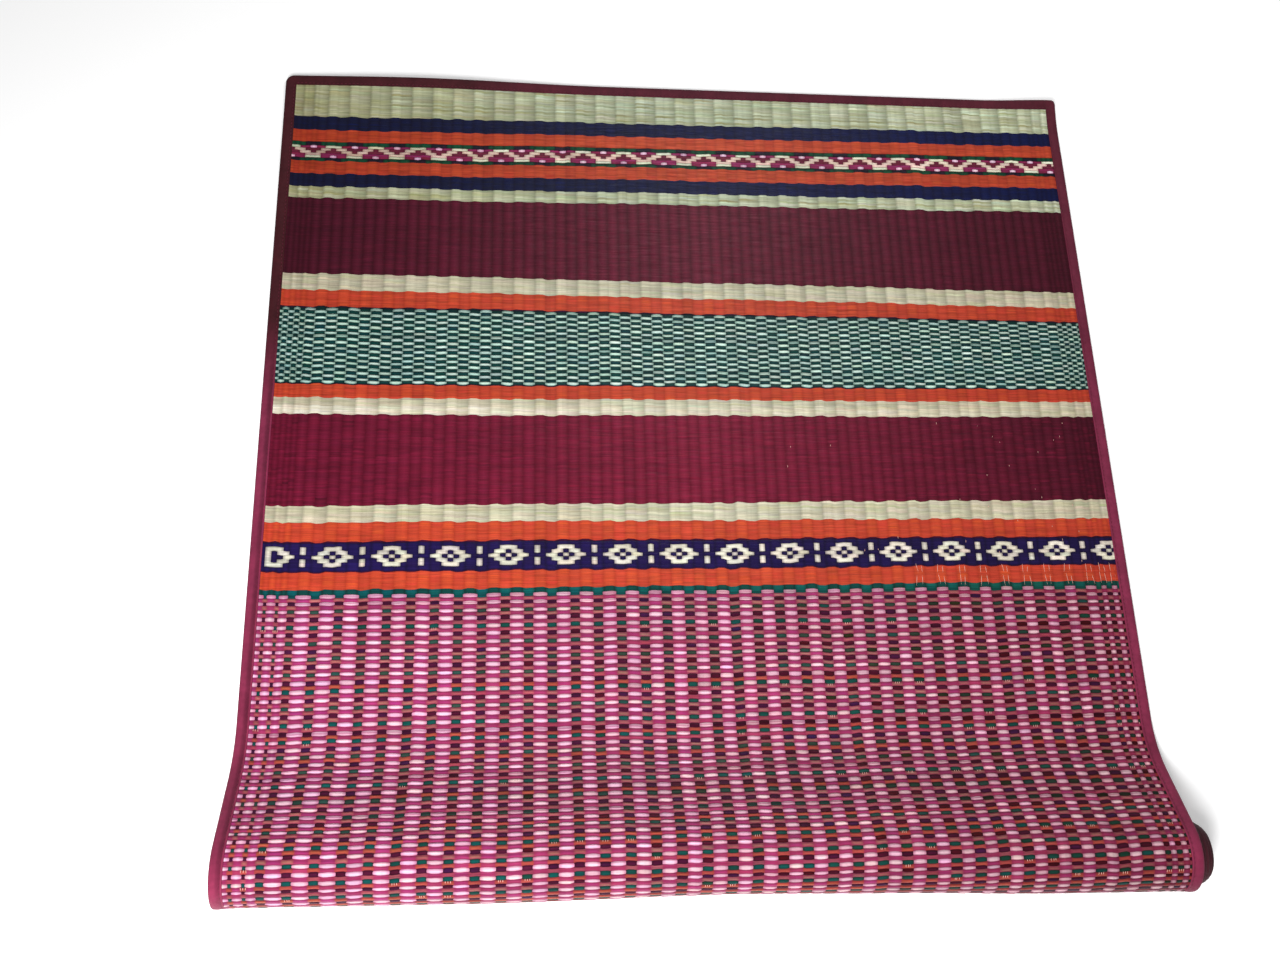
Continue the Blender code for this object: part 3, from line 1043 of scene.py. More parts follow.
    def line_relief(self, row: WeftRow, shape: RowShape, before: RowShape, share: float,
                    same: Array) -> tuple[Array, Array]:
        """Relief of one line of a row.

        Args:
            row: The row.
            shape: How it lies.
            before: How the row above it lies.
            share: The line's place in the row's height.
            same: Whether the row above shows the same weft, in each gap.

        Returns:
            Height and share of painted shade at each point.
        """
        if row.brick:
            low = 1 - (0.5 - 0.5 * np.cos(math.tau * (share + self.brick_phase / 2)))
            return shape.crest - self.brick_valley * low, self.brick_shade * low + shape.sunk
        if share == 0.0:
            apart = 1 - self.joined * self.at_points(same)
            return np.minimum(shape.crest, before.crest) - self.valley * apart, apart
        bulge = 1 - abs(2 * share - 1) ** self.roundness - self.split_sink * shape.split * (share == 0.5)
        return shape.crest - self.valley * (1 - bulge), 1 - bulge + shape.sunk * bulge

    def corner_colours(self, shape: RowShape, shares: tuple[float, ...], above: Array,
                       below: Array) -> list[Array]:
        """Colours at the corners of a row's cells.

        Args:
            shape: The row's shape.
            shares: Places of its lines in its height.
            above: Whether the row above shows the same weft, in each gap.
            below: Whether the row below shows the same weft, in each gap.

        Returns:
            For each line: for each cell, for each of its four corners, red, green and blue.
        """
        middle, rim = np.repeat(shape.middle, 2, axis=0), np.repeat(shape.rim, 2, axis=0)
        edges = []
        for share in (*shares, 1.0):
            off_centre = abs(2 * share - 1)
            joined = self.joined * np.repeat(above if share < 0.5 else below, 2)
            # Rim colour at a row's edges and in a split: painted shade between the floats
            edge = shape.edge * off_centre ** self.edge_power * (1 - joined) + shape.split * (off_centre == 0)
            banding = np.repeat(shape.banding, 2) * (self.banded[0] < off_centre < self.banded[1])
            edges.append(np.maximum(edge, banding))
        found = []
        for step in range(len(shares)):
            corners = []
            for point, line in ((0, 0), (0, 1), (1, 1), (1, 0)):
                fading = shape.fading[point:len(middle) + point]
                weight = 1 - (1 - self.fading_share * fading) * (1 - edges[step + line])
                corners.append(blend(middle, rim, weight[:, None]) * shape.line_tones[step + line])
            found.append(np.stack(corners, axis=1))
        return found


@dataclass
class QuadMesh:
    """Points and four-sided cells gathered for one piece."""
    points: list[Array] = field(default_factory=list)
    places: list[Array] = field(default_factory=list)
    cells: list[Array] = field(default_factory=list)
    colours: list[Array] = field(default_factory=list)
    painted_shades: list[Array] = field(default_factory=list)
    count: int = 0

    def add_points(self, points: Array, places: Array) -> Array:
        """Add points with their places on the uncut mat.

        Args:
            points: Points, with X, Y and Z in the last column.
            places: Place across and length along the uncut mat, in the last column.

        Returns:
            The new points' numbers, in the same layout.
        """
        numbers = self.count + np.arange(points[..., 0].size).reshape(points.shape[:-1])
        self.points.append(points.reshape(-1, 3))
        self.places.append(places.reshape(-1, 2))
        self.count += numbers.size
        return numbers

    def lay(self, shape: MatShape, across: Array, along: Array, height: Array) -> Array:
        """Add points of the uncut mat where its shape carries them, and give their numbers."""
        return self.add_points(shape.place(across, along, height), np.stack([across, along], axis=-1))

    def add_cells(self, numbers: Array, flip: bool = False, kept: Array | None = None) -> None:
        """Join a layout of point numbers into cells.

        Args:
            numbers: Point numbers, lines by points.
            flip: Whether the cells face the other way.
            kept: Which cells to keep, or None for all.
        """
        cells = np.stack([numbers[:-1, :-1], numbers[1:, :-1], numbers[1:, 1:], numbers[:-1, 1:]], axis=-1)
        cells = cells[kept] if kept is not None else cells.reshape(-1, 4)
        self.cells.append(cells[:, ::-1] if flip else cells)

    def make(self, name: str, material: Material) -> Piece:
        """Build the piece.

        Args:
            name: The piece's name.
            material: Its finish.

        Returns:
            The new object.
        """
        points = np.concatenate(self.points)
        cells = np.concatenate(self.cells)
        places = np.concatenate(self.places)
        used = np.zeros(len(points), bool)
        used[cells] = True
        renumbered = np.cumsum(used) - 1
        cells = renumbered[cells]
        mesh = bpy.data.meshes.new(name)
        mesh.vertices.add(int(used.sum()))
        mesh.vertices.foreach_set("co", points[used].astype(np.float32).ravel())
        mesh.loops.add(cells.size)
        mesh.loops.foreach_set("vertex_index", cells.astype(np.int32).ravel())
        mesh.polygons.add(len(cells))
        mesh.polygons.foreach_set("loop_start", np.arange(0, cells.size, 4, dtype=np.int32))
        mesh.update(calc_edges=True)
        mesh.polygons.foreach_set("use_smooth", np.ones(len(cells), bool))
        uv = mesh.uv_layers.new(name="mat_place")
        uv.data.foreach_set("uv", places[used][cells].astype(np.float32).ravel())
        if self.colours:
            colour = np.concatenate(self.colours)
            full = np.ones((*colour.shape[:-1], 4), np.float32)
            full[..., :3] = colour
            layer = mesh.color_attributes.new(name="dye", type="FLOAT_COLOR", domain="CORNER")
            layer.data.foreach_set("color", full.ravel())
        # Share of painted shade at each point, which the finishes darken by
        if self.painted_shades:
            layer = mesh.attributes.new(name="painted_shade", type="FLOAT", domain="POINT")
            layer.data.foreach_set("value", np.concatenate(self.painted_shades)[used].astype(np.float32))
        mesh.materials.append(material)
        mesh.update()
        piece = bpy.data.objects.new(name, mesh)
        bpy.context.scene.collection.objects.link(piece)
        return piece


@dataclass
class NodeBench:
    """Short ways to add and join a material's nodes."""
    material: Material

    @classmethod
    def start(cls, name: str) -> "NodeBench":
        """Make a material with its shader and output.

        Args:
            name: The material's name.

        Returns:
            A bench for it.
        """
        material = bpy.data.materials.new(name)
        material.use_nodes = True
        return cls(material)

    def finish(self, values: dict[str, object]) -> Material:
        """Dress the shader and give the finished material.

        Args:
            values: Values of the shader's inputs by name, or sockets to join to them.

        Returns:
            The material.
        """
        shader = self.material.node_tree.nodes["Principled BSDF"]
        for name, value in values.items():
            self.put(shader.inputs[name], value)
        return self.material

    def node(self, kind: str, values: dict[str, object] | None = None, **settings: object) -> bpy.types.Node:
        """Add a node.

        Args:
            kind: Its type, without the ShaderNode in front.
            values: Values of its inputs by name, or sockets to join to them.
            settings: Its own settings.

        Returns:
            The new node.
        """
        node = self.material.node_tree.nodes.new("ShaderNode" + kind)
        for name, value in settings.items():
            setattr(node, name, value)
        for name, value in (values or {}).items():
            self.put(node.inputs[name], value)
        return node

    def put(self, socket: Socket, value: object) -> None:
        """Set an input's value, or join another node's output to it.

        Args:
            socket: The input.
            value: Its value, or the output to join to it.
        """
        if isinstance(value, Socket):
            self.material.node_tree.links.new(value, socket)
        else:
            socket.default_value = value

    def math(self, operation: str, first: object, second: object) -> Socket:
        """Output of a sum, product or the like of two values.

        Args:
            operation: The kind of sum.
            first: Its first value, or an output.
            second: Its second value, or an output.

        Returns:
            The result's output.
        """
        node = self.node("Math", operation=operation)
        self.put(node.inputs[0], first)
        self.put(node.inputs[1], second)
        return node.outputs[0]

    def scaled(self, factor: tuple[float, float, float],
               vector: Socket) -> Socket:
        """Output of a vector stretched along each axis.

        Args:
            factor: Stretch along each axis.
            vector: The vector's output.

        Returns:
            The stretched vector's output.
        """
        node = self.node("VectorMath", operation="MULTIPLY")
        self.put(node.inputs[0], vector)
        self.put(node.inputs[1], factor)
        return node.outputs[0]

    def noise(self, vector: Socket, detail: float = 2.0) -> Socket:
        """Output of a noise that has one blotch or so for each unit of its vector."""
        return self.node("TexNoise", {"Vector": vector, "Scale": 1.0, "Detail": detail}).outputs["Fac"]

    def ramp(self, value: Socket, low: float, high: float, start: float = 0.3,
             stop: float = 0.7) -> Socket:
        """Output that goes from low to high as a value goes from start to stop."""
        values = {"Value": value, "From Min": start, "From Max": stop, "To Min": low, "To Max": high}
        return self.node("MapRange", values).outputs["Result"]

    def shade(self, colour: object, factor: Socket) -> Socket:
        """Output of a colour made lighter or darker by a factor.

        Args:
            colour: The colour, or its output.
            factor: The factor's output.

        Returns:
            The new colour's output.
        """
        node = self.node("VectorMath", operation="SCALE")
        self.put(node.inputs[0], colour)
        self.put(node.inputs["Scale"], factor)
        return node.outputs[0]

    def bump(self, height: Socket, distance: float, strength: float) -> Socket:
        """Output of a surface normal raised by a height from 0 to 1."""
        values = {"Height": height, "Distance": distance, "Strength": strength}
        return self.node("Bump", values).outputs["Normal"]


@dataclass(frozen=True)
class GrassFinish:
    """Dyed split grass: fine strands run across the mat, with painted shade in the valleys between floats."""
    strand: float = 1.2 * MM
    fibre: float = 0.32 * MM
    streak_length: float = 26 * MM
    roughness: float = 0.46
    specular: float = 0.22
    hollow_shade: float = 0.68
    patches: tuple[float, float, float] = (14.0, 90.0, 1)
    # Light of the palest and the darkest places of each pattern, as factors
    strand_light: tuple[float, float] = (0.80, 1.20)
    fibre_light: tuple[float, float] = (0.91, 1.09)
    patch_light: tuple[float, float] = (0.93, 1.07)
    gloss_spread: float = 0.08
    fibre_height: float = 0.35
    relief: float = 0.35 * MM
    relief_strength: float = 0.6

    def material(self) -> Material:
        """Make the material.

        Returns:
            The material.
        """
        bench = NodeBench.start("dyed_grass")
        place = bench.node("UVMap", uv_map="mat_place").outputs["UV"]
        dye = bench.node("Attribute", attribute_name="dye").outputs["Color"]
        painted_shade = bench.node("Attribute", attribute_name="painted_shade").outputs["Fac"]
        strands = bench.noise(bench.scaled((1 / self.streak_length, 1 / self.strand, 1), place), 3.0)
        fibres = bench.noise(bench.scaled((3 / self.streak_length, 1 / self.fibre, 1), place), 2.0)
        patches = bench.noise(bench.scaled(self.patches, place), 2.0)
        light = bench.math("MULTIPLY", bench.ramp(strands, *self.strand_light),
                           bench.ramp(fibres, *self.fibre_light))
        light = bench.math("MULTIPLY", light, bench.ramp(patches, *self.patch_light))
        # Painted shade in the valleys between floats and rows
        light = bench.math("MULTIPLY", light, bench.ramp(painted_shade, 1.0, self.hollow_shade, 0.0, 1.0))
        gloss = bench.ramp(strands, self.roughness + self.gloss_spread, self.roughness - self.gloss_spread)
        height = bench.math("ADD", strands, bench.math("MULTIPLY", fibres, self.fibre_height))
        return bench.finish({
            "Base Color": bench.shade(dye, light),
            "Roughness": gloss,
            "Specular IOR Level": self.specular,
            "Normal": bench.bump(height, self.relief, self.relief_strength),
        })


@dataclass(frozen=True)
class TapeFinish:
    """Wine red cotton tape with a fine weave. Painted light takes it from the darker far colour to the
    lighter near one, from the middle of its left side and along its right side to the near end, and its turns
    at the roll's ends take a painted shadow.

    Its shade attribute is near 1 where painted shade darkens it, 0.5 where it is plain and less on its lip,
    which takes a painted highlight.
    """
    far: Colour = (62, 22, 28)
    near: Colour = (115, 39, 64)
    # Painted shadow on the tape's turns at the roll's ends, from wound_along on
    wound: Colour = (62, 26, 34)
    # Lengths from the far edge where the painted light starts and where it is full: on the left side, then on
    # the right
    left_painted_light: tuple[float, float] = (250 * MM, 345 * MM)
    right_painted_light: tuple[float, float] = (-100 * MM, 400 * MM)
    left_side: tuple[float, float] = (-350 * MM, -150 * MM)
    wound_along: float = 790 * MM
    wound_fade: float = 40 * MM
    patches: tuple[float, float, float] = (60.0, 38.0, 1)
    creases: tuple[float, float, float] = (240.0, 240.0, 1)
    patch_light: tuple[float, float] = (0.85, 1.25)
    crease_light: tuple[float, float] = (0.90, 1.10)
    # Light factors at the ends of the shade attribute: a painted highlight on the lip, painted shade on the
    # inner half
    lip_light: float = 1.45
    inner_shade: float = 0.55
    thread: float = 0.42 * MM
    roughness: float = 0.6
    specular: float = 0.25
    weave_height: float = 0.3
    crease_height: float = 1.5
    relief: float = 0.25 * MM
    relief_strength: float = 0.7

    def material(self) -> Material:
        """Make the material.

        Returns:
            The material.
        """
        bench = NodeBench.start("binding_tape")
        place = bench.node("UVMap", uv_map="mat_place").outputs["UV"]
        place_parts = bench.node("SeparateXYZ", {"Vector": place})
        side, along = place_parts.outputs["X"], place_parts.outputs["Y"]
        # Painted light: the tape goes from the far colour to the near one along the mat
        start, stop = (bench.ramp(side, *ends, *self.left_side)
                       for ends in zip(self.left_painted_light, self.right_painted_light))
        painted_light = bench.node("MapRange", {"Value": along, "From Min": start, "From Max": stop})
        inner = bench.node("Attribute", attribute_name="painted_shade").outputs["Fac"]
        patches = bench.noise(bench.scaled(self.patches, place), 3.0)
        creases = bench.noise(bench.scaled(self.creases, place), 3.0)
        outer = bench.node("MixRGB", {
            "Fac": painted_light.outputs["Result"],
            "Color1": (*linear(self.far), 1),
            "Color2": (*linear(self.near), 1),
        })
        # Painted shadow on the tape's turns at the roll's ends
        roll_shade = bench.ramp(along, 0.0, 1.0, self.wound_along, self.wound_along + self.wound_fade)
        dye = bench.node("MixRGB", {
            "Fac": roll_shade, "Color1": outer.outputs["Color"], "Color2": (*linear(self.wound), 1),
        })
        count = math.tau / self.thread
        turns = bench.node("SeparateXYZ", {"Vector": bench.scaled((count, count, 1), place)})
        first, second = (bench.math("SINE", turns.outputs[axis], 0.0) for axis in "XY")
        weave = bench.ramp(bench.math("MULTIPLY", first, second), 0.0, 1.0, -1.0, 1.0)
        light = bench.math("MULTIPLY", bench.ramp(creases, *self.crease_light),
                           bench.ramp(patches, *self.patch_light))
        # Painted highlight on the lip and painted shade on the inner half of the tape
        light = bench.math("MULTIPLY", light, bench.ramp(inner, self.lip_light, self.inner_shade, 0.0, 1.0))
        height = bench.math("ADD", bench.math("MULTIPLY", weave, self.weave_height),
                            bench.math("MULTIPLY", creases, self.crease_height))
        return bench.finish({
            "Base Color": bench.shade(dye.outputs["Color"], light),
            "Roughness": self.roughness,
            "Specular IOR Level": self.specular,
            "Normal": bench.bump(height, self.relief, self.relief_strength),
        })


@dataclass(frozen=True)
class ThreadFinish:
    """Plain twisted thread."""
    name: str = "sewing_thread"
    colour: Colour = (96, 30, 48)
    twist: float = 900.0
    twist_light: tuple[float, float] = (0.85, 1.15)
    roughness: float = 0.6

    def material(self) -> Material:
        """Make the material.

        Returns:
            The material.
        """
        bench = NodeBench.start(self.name)
        twist = bench.node("TexWave", {"Scale": self.twist, "Distortion": 1.0}, bands_direction="DIAGONAL")
        light = bench.ramp(twist.outputs["Fac"], *self.twist_light, 0.0, 1.0)
        colour = bench.shade(tuple(linear(self.colour)), light)
        return bench.finish({"Base Color": colour, "Roughness": self.roughness})


@dataclass(frozen=True)
class FloorFinish:
    """Plain pale floor, lit a little from below like a light table."""
    colour: Colour = (250, 250, 250)
    roughness: float = 0.9
    glow: float = 0.22

    def material(self) -> Material:
        """Make the material.

        Returns:
            The material.
        """
        return NodeBench.start("pale_floor").finish({
            "Base Color": (*linear(self.colour), 1),
            "Roughness": self.roughness,
            "Specular IOR Level": 0.0,
            "Emission Color": (1, 1, 1, 1),
            "Emission Strength": self.glow,
        })


@dataclass
class WovenPanel:
    """The woven grass: its upper face in five stretches, its underside, the turns inside the roll, and
    the pale warp threads that show, painted as glints of light.
    """
    shape: MatShape
    surface: WeaveSurface
    finish: GrassFinish
    pinched_rise: float = 0.3 * MM
    pinched_under: float = 1.3 * MM
    pinch_start: float = 10.3 * MM
    pinch_end: float = 16 * MM
    pinched_relief: float = 0.3
    pinched_run: float = 2 * MM
    under_relief: float = 0.3 * MM
    # Which lines of each row the underside keeps
    under_steps: tuple[int, int] = (0, 2)
    hem_inset: float = 2.0 * MM
    last_visible_turn: float = math.radians(318)
    stretches: tuple[tuple[str, float], ...] = (
        ("far_stripes", 179.6 * MM), ("check_stripes", 48.5 * MM), ("motif_stripes", -110 * MM),
        ("flat_body", -245 * MM), ("rolled_body", -math.inf),
    )
    stretch_slack: float = 0.4 * MM
    inner_across: int = 31
    inner_step: float = 6 * MM
    inner_margin: float = 0.3 * MM
    inner_hollow: float = 0.5
    inner_colour: Colour = (150, 96, 92)
    # Pale finish of the slivers: warp threads with painted glints of light on them
    warp: ThreadFinish = ThreadFinish("thread_glint", (204, 160, 146))
    glint_width: float = 0.22 * MM
    # Share of a glint's length, share of its width, and height over the mat in millimetres
    glint_profile: tuple[tuple[float, float, float], ...] = (
        (0.0, 0.15, 0.22), (0.25, 1.0, 0.36), (0.7, 0.8, 0.34), (1.0, 0.15, 0.2),
    )
    glint_fall: float = 0.2 * MM
    glint_slant: float = 0.08
    # Short glints over a teal row: share of dark columns at the middle, how much more at the right side,
    # places across the column and how far they stray, in millimetres, start past the row, and length
    tick_share: float = 0.25
    tick_rise: float = 0.15
    tick_offsets: tuple[float, ...] = (-1.7, 0.0, 1.7)
    tick_stray: float = 0.2
    tick_start: float = 0.5 * MM
    tick_reach: float = 2.2 * MM
    # Long glints under the diamonds: place across the column, Y and length, all in millimetres, how far
    # they stray across and drop, and the share of the half width where they start
    long_glints: tuple[tuple[float, float, float], ...] = (
        (-2.3, -88, 8), (2.2, -90, 6), (-2.1, -97, 10), (2.3, -98, 9),
    )
    long_stray: float = 0.25
    long_drop: float = 2.0
    long_start: float = 0.45
    # Glints strewn over the right side: how many, the shares of the half width where they end and how far
    # in they reach, the span of Y and the span of length, in millimetres
    loose_glints: int = 30
    loose_side: float = 0.9
    loose_reach_in: float = 0.7
    loose_y: tuple[float, float] = (-95, 45)
    loose_reach: tuple[float, float] = (1.2, 2.4)
    glint_seed: int = 31

    def rim_share(self, across: Array, along: Array) -> Array:
        """How far the weave is pinched into the binding, from 0 to 1."""
        inset = self.shape.inset(across, along)
        return 1 - np.clip((inset - self.pinch_start) / (self.pinch_end - self.pinch_start), 0, 1)

    @property
    def middle_section(self) -> SectionTable:
        """Section table at the middle of the width."""
        return self.shape.stations[self.shape.station_count // 2]

    @cached_property
    def hidden_wound(self) -> float:
        """Wound length where the upper face passes into the nip and out of sight."""
        table = self.middle_section
        return float(np.interp(self.last_visible_turn, table.turn, table.length))

    @cached_property
    def touch_wound(self) -> float:
        """Wound length where the sheet reaches the roll."""
        table = self.middle_section
        return float(table.length[np.argmax(table.turn > table.turn[0])])

    @cached_property
    def lines(self) -> WeaveLines:
        """Every line of the weave that can be seen."""
        return self.surface.build(-self.hidden_wound)

    def build_stretch(self, name: str, first: int, last: int,
                      material: Material) -> Piece:
        """Build one stretch of the upper face.

        Args:
            name: The piece's name.
            first: Number of its first line.
            last: Number of its last line.
            material: Its finish.

        Returns:
            The piece.
        """
        lines = self.lines
        across = lines.across[first:last + 1]
        along = self.shape.far_edge - lines.y[first:last + 1]
        rim = self.rim_share(across, along)
        pinched = ease((self.pinch_start - self.shape.inset(across, along)) / self.pinched_run)
        relief = lines.relief[first:last + 1] * blend(1.0, self.pinched_relief, pinched)
        mesh = QuadMesh()
        height = self.shape.thickness + self.pinched_rise * rim + relief
        mesh.add_cells(mesh.lay(self.shape, across, along, height))
        mesh.colours.append(lines.colours[first:last].reshape(-1, 4, 3))
        mesh.painted_shades.append(lines.painted_shade[first:last + 1].ravel())
        piece = mesh.make(name, material)
        self.dress(piece)
        return piece

    def dress(self, piece: Piece) -> None:
        """Attach a piece to the root, and hide the model's woven panel.

        Args:
            piece: The piece.
        """
        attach(piece, "root")
        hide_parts("woven_panel")

    def build_underside(self, material: Material) -> Piece:
        """Build the face on the floor, up to where the sheet reaches the roll.

        Args:
            material: Its finish.

        Returns:
            The piece.
        """
        lines = self.lines
        row_of_line = np.searchsorted(lines.row_start, np.arange(len(lines.y)), side="right") - 1
        step = np.arange(len(lines.y)) - lines.row_start[row_of_line]
        kept = np.flatnonzero(np.isin(step, self.under_steps))
        kept = kept[lines.y[kept].mean(axis=1) > -self.touch_wound]
        across = lines.across[kept][:, ::2]
        along = self.shape.far_edge - lines.y[kept][:, ::2]
        rim = self.rim_share(across, along)
        height = self.pinched_under * rim + self.under_relief * lines.painted_shade[kept][:, ::2] * (1 - rim)
        colours = lines.under_colours[row_of_line[kept[:-1]]]
        mesh = QuadMesh()
        mesh.add_cells(mesh.lay(self.shape, across, along, height), flip=True)
        mesh.colours.append(np.repeat(colours.reshape(-1, 1, 3), 4, axis=1))
        mesh.painted_shades.append(lines.painted_shade[kept][:, ::2].ravel())
        piece = mesh.make("grass_underside", material)
        self.dress(piece)
        return piece

    def build_inner_turns(self, material: Material) -> Piece:
        """Build the turns wound out of sight inside the roll, as a plain closed sheet.

        Args:
            material: Its finish.

        Returns:
            The piece.
        """
        start = self.shape.far_edge + self.hidden_wound - self.inner_step
        count = round((self.shape.near_end - start) / self.inner_step)
        half = self.shape.half_width - self.hem_inset
        across, along = np.meshgrid(np.linspace(-half, half, self.inner_across),
                                    np.linspace(start, self.shape.near_end, count))
        mesh = QuadMesh()
        upper, lower = (mesh.lay(self.shape, across, along, np.full_like(across, height))
                        for height in (self.shape.thickness - self.inner_margin, self.inner_margin))
        mesh.add_cells(upper)
        mesh.add_cells(lower, flip=True)
        for side, flip in (((slice(None), 0), False), ((slice(None), -1), True), ((0, slice(None)), True),
                           ((-1, slice(None)), False)):
            mesh.add_cells(np.stack([lower[side], upper[side]], axis=1), flip)
        cells = sum(len(cells) for cells in mesh.cells)
        mesh.colours.append(np.broadcast_to(linear(self.inner_colour), (cells, 4, 3)))
        mesh.painted_shades.append(np.full(mesh.count, self.inner_hollow))
        piece = mesh.make("grass_inner_turns", material)
        self.dress(piece)
        return piece

    def glint_places(self, random: np.random.Generator) -> tuple[Array, Array, Array]:
        """Where the pale warp threads show between the floats, as painted glints of light.

        Args:
            random: Source of their small differences.

        Returns:
            Place across, length from the far edge and reach of each thread.
        """
        lines, plan = self.lines, self.surface.draft.plan
        middles = [(plan.bounds[gaps[0]] + plan.bounds[gaps[-1] + 1]) / 2 for gaps in plan.column_gaps]
        centres = np.array(middles)
        bright = np.array([plan.bright[gaps[0]] for gaps in plan.column_gaps])
        found = []
        teal = DYES.index(Dye.TEAL)
        for number, row in enumerate(self.surface.draft.rows(-self.hidden_wound)[:-2]):
            if teal not in row.dyes:
                continue
            line = lines.row_start[number + 1]
            for centre in centres[~bright]:
                side = centre / self.shape.half_width
                if random.random() > self.tick_share + self.tick_rise * side:
                    continue
                point = np.argmin(np.abs(lines.across[line] - centre))
                y = lines.y[line, point] + self.tick_start
                for offset in self.tick_offsets:
                    place = centre + (offset + self.tick_stray * random.standard_normal()) * MM
                    found.append((place, y, self.tick_reach))
        for centre in centres[bright & (centres > self.long_start * self.shape.half_width)]:
            for offset, far_y, reach in self.long_glints:
                y = (far_y - self.long_drop * random.random()) * MM
                place = centre + (offset + self.long_stray * random.standard_normal()) * MM
                found.append((place, y, reach * MM))
        for _ in range(self.loose_glints):
            across = self.shape.half_width * (self.loose_side - self.loose_reach_in * random.random() ** 2)
            found.append((across, random.uniform(*self.loose_y) * MM, random.uniform(*self.loose_reach) * MM))
        across, y, reach = np.array(found).T
        return across, self.shape.far_edge - y, reach

    def build_glints(self) -> Piece:
        """Build the warp threads that show, as thin pale slivers tapered to both ends that paint their glints
        of light.

        Returns:
            The piece.
        """
        random = np.random.default_rng(self.glint_seed)
        across, along, reach = self.glint_places(random)
        shares, widths, heights = np.array(self.glint_profile).T
        widths = self.glint_width * widths
        heights = heights * MM
        sides = np.array([-1.0, 0.0, 1.0])
        slant = self.glint_slant * random.standard_normal(len(across))
        down = along[:, None, None] + reach[:, None, None] * shares[None, :, None] + 0 * sides
        over = across[:, None, None] + widths[None, :, None] * sides
        over = over + (slant * reach)[:, None, None] * shares[None, :, None]
        fall = self.glint_fall * np.abs(sides)
        height = self.shape.thickness + heights[None, :, None] - fall[None, None, :]
        height = np.broadcast_to(height, down.shape)
        mesh = QuadMesh()
        for numbers in mesh.lay(self.shape, over, down, height):
            mesh.add_cells(numbers)
        piece = mesh.make("grass_thread_glints", self.warp.material())
        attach(piece, "root")
        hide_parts("woven_panel")
        return piece

    def build(self) -> list[Piece]:
        """Build and dress every piece of the panel.

        Returns:
            The pieces, far end first.
        """
        material = self.finish.material()
        lines = self.lines
        starts = lines.y[lines.row_start, lines.y.shape[1] // 2]
        pieces = []
        first = 0
        for name, near_y in self.stretches:
            below = np.flatnonzero(starts < near_y + self.stretch_slack)
            last = int(lines.row_start[below[0]]) if len(below) else len(lines.y) - 1
            pieces.append(self.build_stretch("grass_" + name, first, last, material))
            first = last
        pieces += [self.build_underside(material), self.build_inner_turns(material), self.build_glints()]
        return pieces


